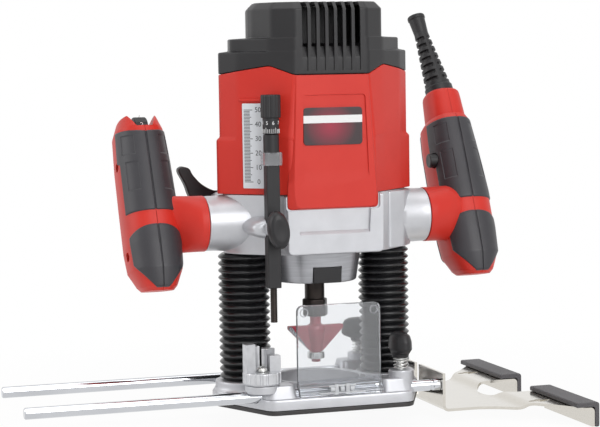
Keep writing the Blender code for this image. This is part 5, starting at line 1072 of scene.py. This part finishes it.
def build_depth_stop():
    """The bar, its fine-adjustment knob and screw, the cursor round it, and the wing that clamps it."""
    place = (*STOP, 0)
    bar = soften(rectangle(-4.7, -4.2, 4.7, 4.2), 0.9, 4)
    rod = joined(slab(bar, 87, 182, 0.6), drum(5.5, 180, 193, 0.6, 64))
    make("depth_rod", "depth_bar", black_nylon, aimed(carved(rod, bore(2.8, 60, 200, 40)), at=place),
         nodes=["depth_bar"], sharp=32)
    flutes = lambda angle, z: 1 - 0.05 * (0.5 - 0.5 * np.cos(angle * 18)) * (z > 205)
    knob = ((0, 193.3), (5.7, 193.3), (5.7, 204.3), (6.9, 204.6), (6.9, 220.3), (0, 220.3))
    make("depth_knob_grip", "depth_knob", black_nylon,
         aimed(turned(knob, (1, 0.4, 0.2, 0.5, 1.2, 1), 5, 180, flutes), at=place),
         nodes=["depth_knob"], sharp=34)
    make("depth_knob_marks", "depth_knob", white_ink, *(aimed(mark, at=place) for mark in knob_marks()))
    z = np.linspace(63, 194, 420)
    thread = 2.15 + 0.35 * np.abs(2 * ((z / 1.25) % 1) - 1)
    screw = np.concatenate((((0, 63),), np.stack((thread, z), 1), ((0, 194),)))
    make("depth_screw", "depth_knob", phosphate, aimed(lathe(screw, 24), at=place), sharp=70)
    sleeve = slab(soften(rectangle(-6.3, -5.6, 6.3, 5.6), 1.2, 4), 171.8, 180.8, 0.4)
    hole = boxes([(0, 0, 176)], [(5.5, 4.8, 20)])
    make("depth_cursor_window", "depth_cursor", clear_cursor, aimed(carved(sleeve, hole), at=place),
         nodes=["depth_cursor"], sharp=10)
    lean = math.radians(9)
    axes = ((-math.sin(lean), 0, math.cos(lean)), (-math.cos(lean), 0, -math.sin(lean)), (0, -1, 0))
    make("depth_clamp_wing", "depth_clamp", black_nylon,
         aimed(oval_knob(13.4, 7.7, 11.5), axes, (STOP_CLAMP[0], -53.1, STOP_CLAMP[2])),
         nodes=["depth_clamp_knob"], sharp=50)
    make("depth_clamp_stem", "depth_clamp", bright_zinc,
         aimed(drum(3, 49.8, 53.4, 0.3, 40), TO_FRONT, STOP_CLAMP))


def build_plates():
    """The depth scale on its slanting facet, the ridge over it, and the name badge."""
    out = np.array((-16.2, -18.2)) / 24.37
    along = np.array((-18.2, 16.2)) / 24.37
    axes = ((-along[0], -along[1], 0), (0, 0, 1), (out[0], out[1], 0))
    middle = np.array((-51.2, -26.8, 155.0))
    card = soften(rectangle(-8.5, 0, 8.5, 59), 0.8, 4)
    at = middle + 0.3 * np.array((*out, 0))
    make("scale_card", "head", vinyl, aimed(slab(card, 0, 0.75, 0.1), axes, at), nodes=["scale_plate"])
    zero = 4.5
    ticks = np.arange(0, 51)
    length = np.where(ticks % 10 == 0, 6.6, np.where(ticks % 5 == 0, 5.6, 4.6))
    lines = boxes(np.stack((length / 2 - 7.2, zero + ticks, np.full(51, 0.76)), 1),
                  np.stack((length / 2, np.full(51, 0.22), np.full(51, 0.04)), 1))
    numbers = [aimed(figures(str(10 * i), 3.6, 0.06), at=(3.6, zero + 10 * i, 0.77)) for i in range(6)]
    make("scale_print", "head", black_ink, aimed(joined(lines, *numbers), axes, at))
    ridge = soften(rectangle(-10.5, 0, 9.5, 2.2), 1, 4)
    make("label_ridge", "head", red_abs, aimed(slab(ridge, -1, 1.4, 0.6), axes, middle + (0, 0, 60.2)))
    badge = soften(rectangle(-21.5, 184.6, 21.5, 210.6), 3, 6)
    make("name_badge", "head", foil_badge, aimed(slab(badge, 45.8, 46.7, 0.2), TO_FRONT),
         nodes=["name_plate"])


# Finishes of the CAD nodes that stay as they are
INSIDE = {"stator": laminations, "armature_core": copper, "commutator": copper, "cooling_fan": black_nylon,
          "collet": bright_zinc, "upper_bearing": bright_zinc, "lower_bearing": bright_zinc,
          "left_column_bush": bronze, "right_column_bush": bronze, "front_brush_holder": bronze,
          "rear_brush_holder": bronze, "switch_module": black_nylon, "speed_module": black_nylon}

build_base()
build_guide()
build_turret()
build_guard()
build_casting()
build_housing()
for side_name, side in SIDES.items():
    build_handle(side_name, side)
build_controls()
build_spindle()
build_depth_stop()
build_plates()
for node, finish in INSIDE.items():
    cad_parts[node].data.materials[0] = finish


# Camera, floor and light

def stand(obj, axes, at):
    """Lays an object's own X, Y and Z along three axes, with its origin at a place."""
    obj.matrix_world = Matrix.Translation(at) @ Matrix(np.array(axes).T.tolist()).to_4x4()


def set_camera():
    """The camera fitted to the photo: place, yaw, pitch and roll, and a 119.6 mm lens on a 36 mm sensor."""
    yaw, pitch, roll = 0.310890601, 0.0827695705, -0.0157285729
    ahead = np.array((math.sin(yaw) * math.cos(pitch), math.cos(yaw) * math.cos(pitch), -math.sin(pitch)))
    flat = np.array((math.cos(yaw), -math.sin(yaw), 0))
    rise = np.cross(flat, ahead)
    right = math.cos(roll) * flat + math.sin(roll) * rise
    up = -math.sin(roll) * flat + math.cos(roll) * rise
    data = bpy.data.cameras.new("camera")
    data.lens, data.sensor_width, data.sensor_fit = 119.62, 36, "HORIZONTAL"
    camera = linked("camera", data)
    stand(camera, (right, up, -ahead), (-0.44494, -1.30795, 0.25174))
    bpy.context.scene.camera = camera


def background_rays(tree):
    """1 on camera, glossy and transmission rays, which see the plain white background, and 0 on the rest."""
    path = add(tree, "LightPath").outputs
    both = sums(tree, "MAXIMUM", path["Is Camera Ray"], path["Is Glossy Ray"])
    return sums(tree, "MAXIMUM", both, path["Is Transmission Ray"])


def set_floor():
    """A white floor that takes soft shadow near the machine and glows as white as the background far off."""
    half, depth = 30, -0.0156
    paint, tree, shader, place = material("white_floor", Base_Color="#FFFFFF", Roughness=0.9,
                                          Specular_IOR_Level=0)
    glow = add(tree, "Emission", {"Color": (1, 1, 1, 1), "Strength": 1.0}).outputs[0]
    far = add(tree, "VectorMath", {0: place}, operation="LENGTH").outputs["Value"]
    share = sums(tree, "MULTIPLY", background_rays(tree), spread(tree, far, 0.94, 1.0, 0.2, 0.5))
    mixed = add(tree, "MixShader", {0: share, 1: shader.outputs[0], 2: glow}).outputs[0]
    feed(tree, tree.nodes["Material Output"], Surface=mixed)
    mesh = bpy.data.meshes.new("floor")
    mesh.from_pydata([(x, y, depth) for x, y in rectangle(-half, -half, half, half)], [], [(0, 1, 2, 3)])
    mesh.materials.append(paint)
    linked("floor", mesh)


def set_light():
    """A white room that lights less than it shows, and three square lamps aimed at the machine."""
    world = bpy.data.worlds.new("studio")
    bpy.context.scene.world = world
    world.use_nodes = True
    tree = world.node_tree
    sky = tree.nodes["Background"]
    sky.inputs["Color"].default_value = (1, 1, 1, 1)
    feed(tree, sky, Strength=spread(tree, background_rays(tree), 0.3, 1.0))
    for name, place, energy, size in (("key", (0.3, -1.9, 1.0), 23, 1.3), ("side", (-1.7, 0.45, 0.8), 7, 1.2),
                                      ("top", (0.05, 0.0, 1.9), 12, 1.6)):
        data = bpy.data.lights.new(name, "AREA")
        data.energy, data.size = energy, size
        aim = np.array((0, SPINDLE_Y, 0.13)) - place
        aim /= np.linalg.norm(aim)
        across = np.cross(aim, (0, 0, 1))
        across /= np.linalg.norm(across)
        stand(linked(name, data), (across, np.cross(across, aim), -aim), place)


set_camera()
set_floor()
set_light()
bpy.context.scene.view_settings.view_transform = "Standard"
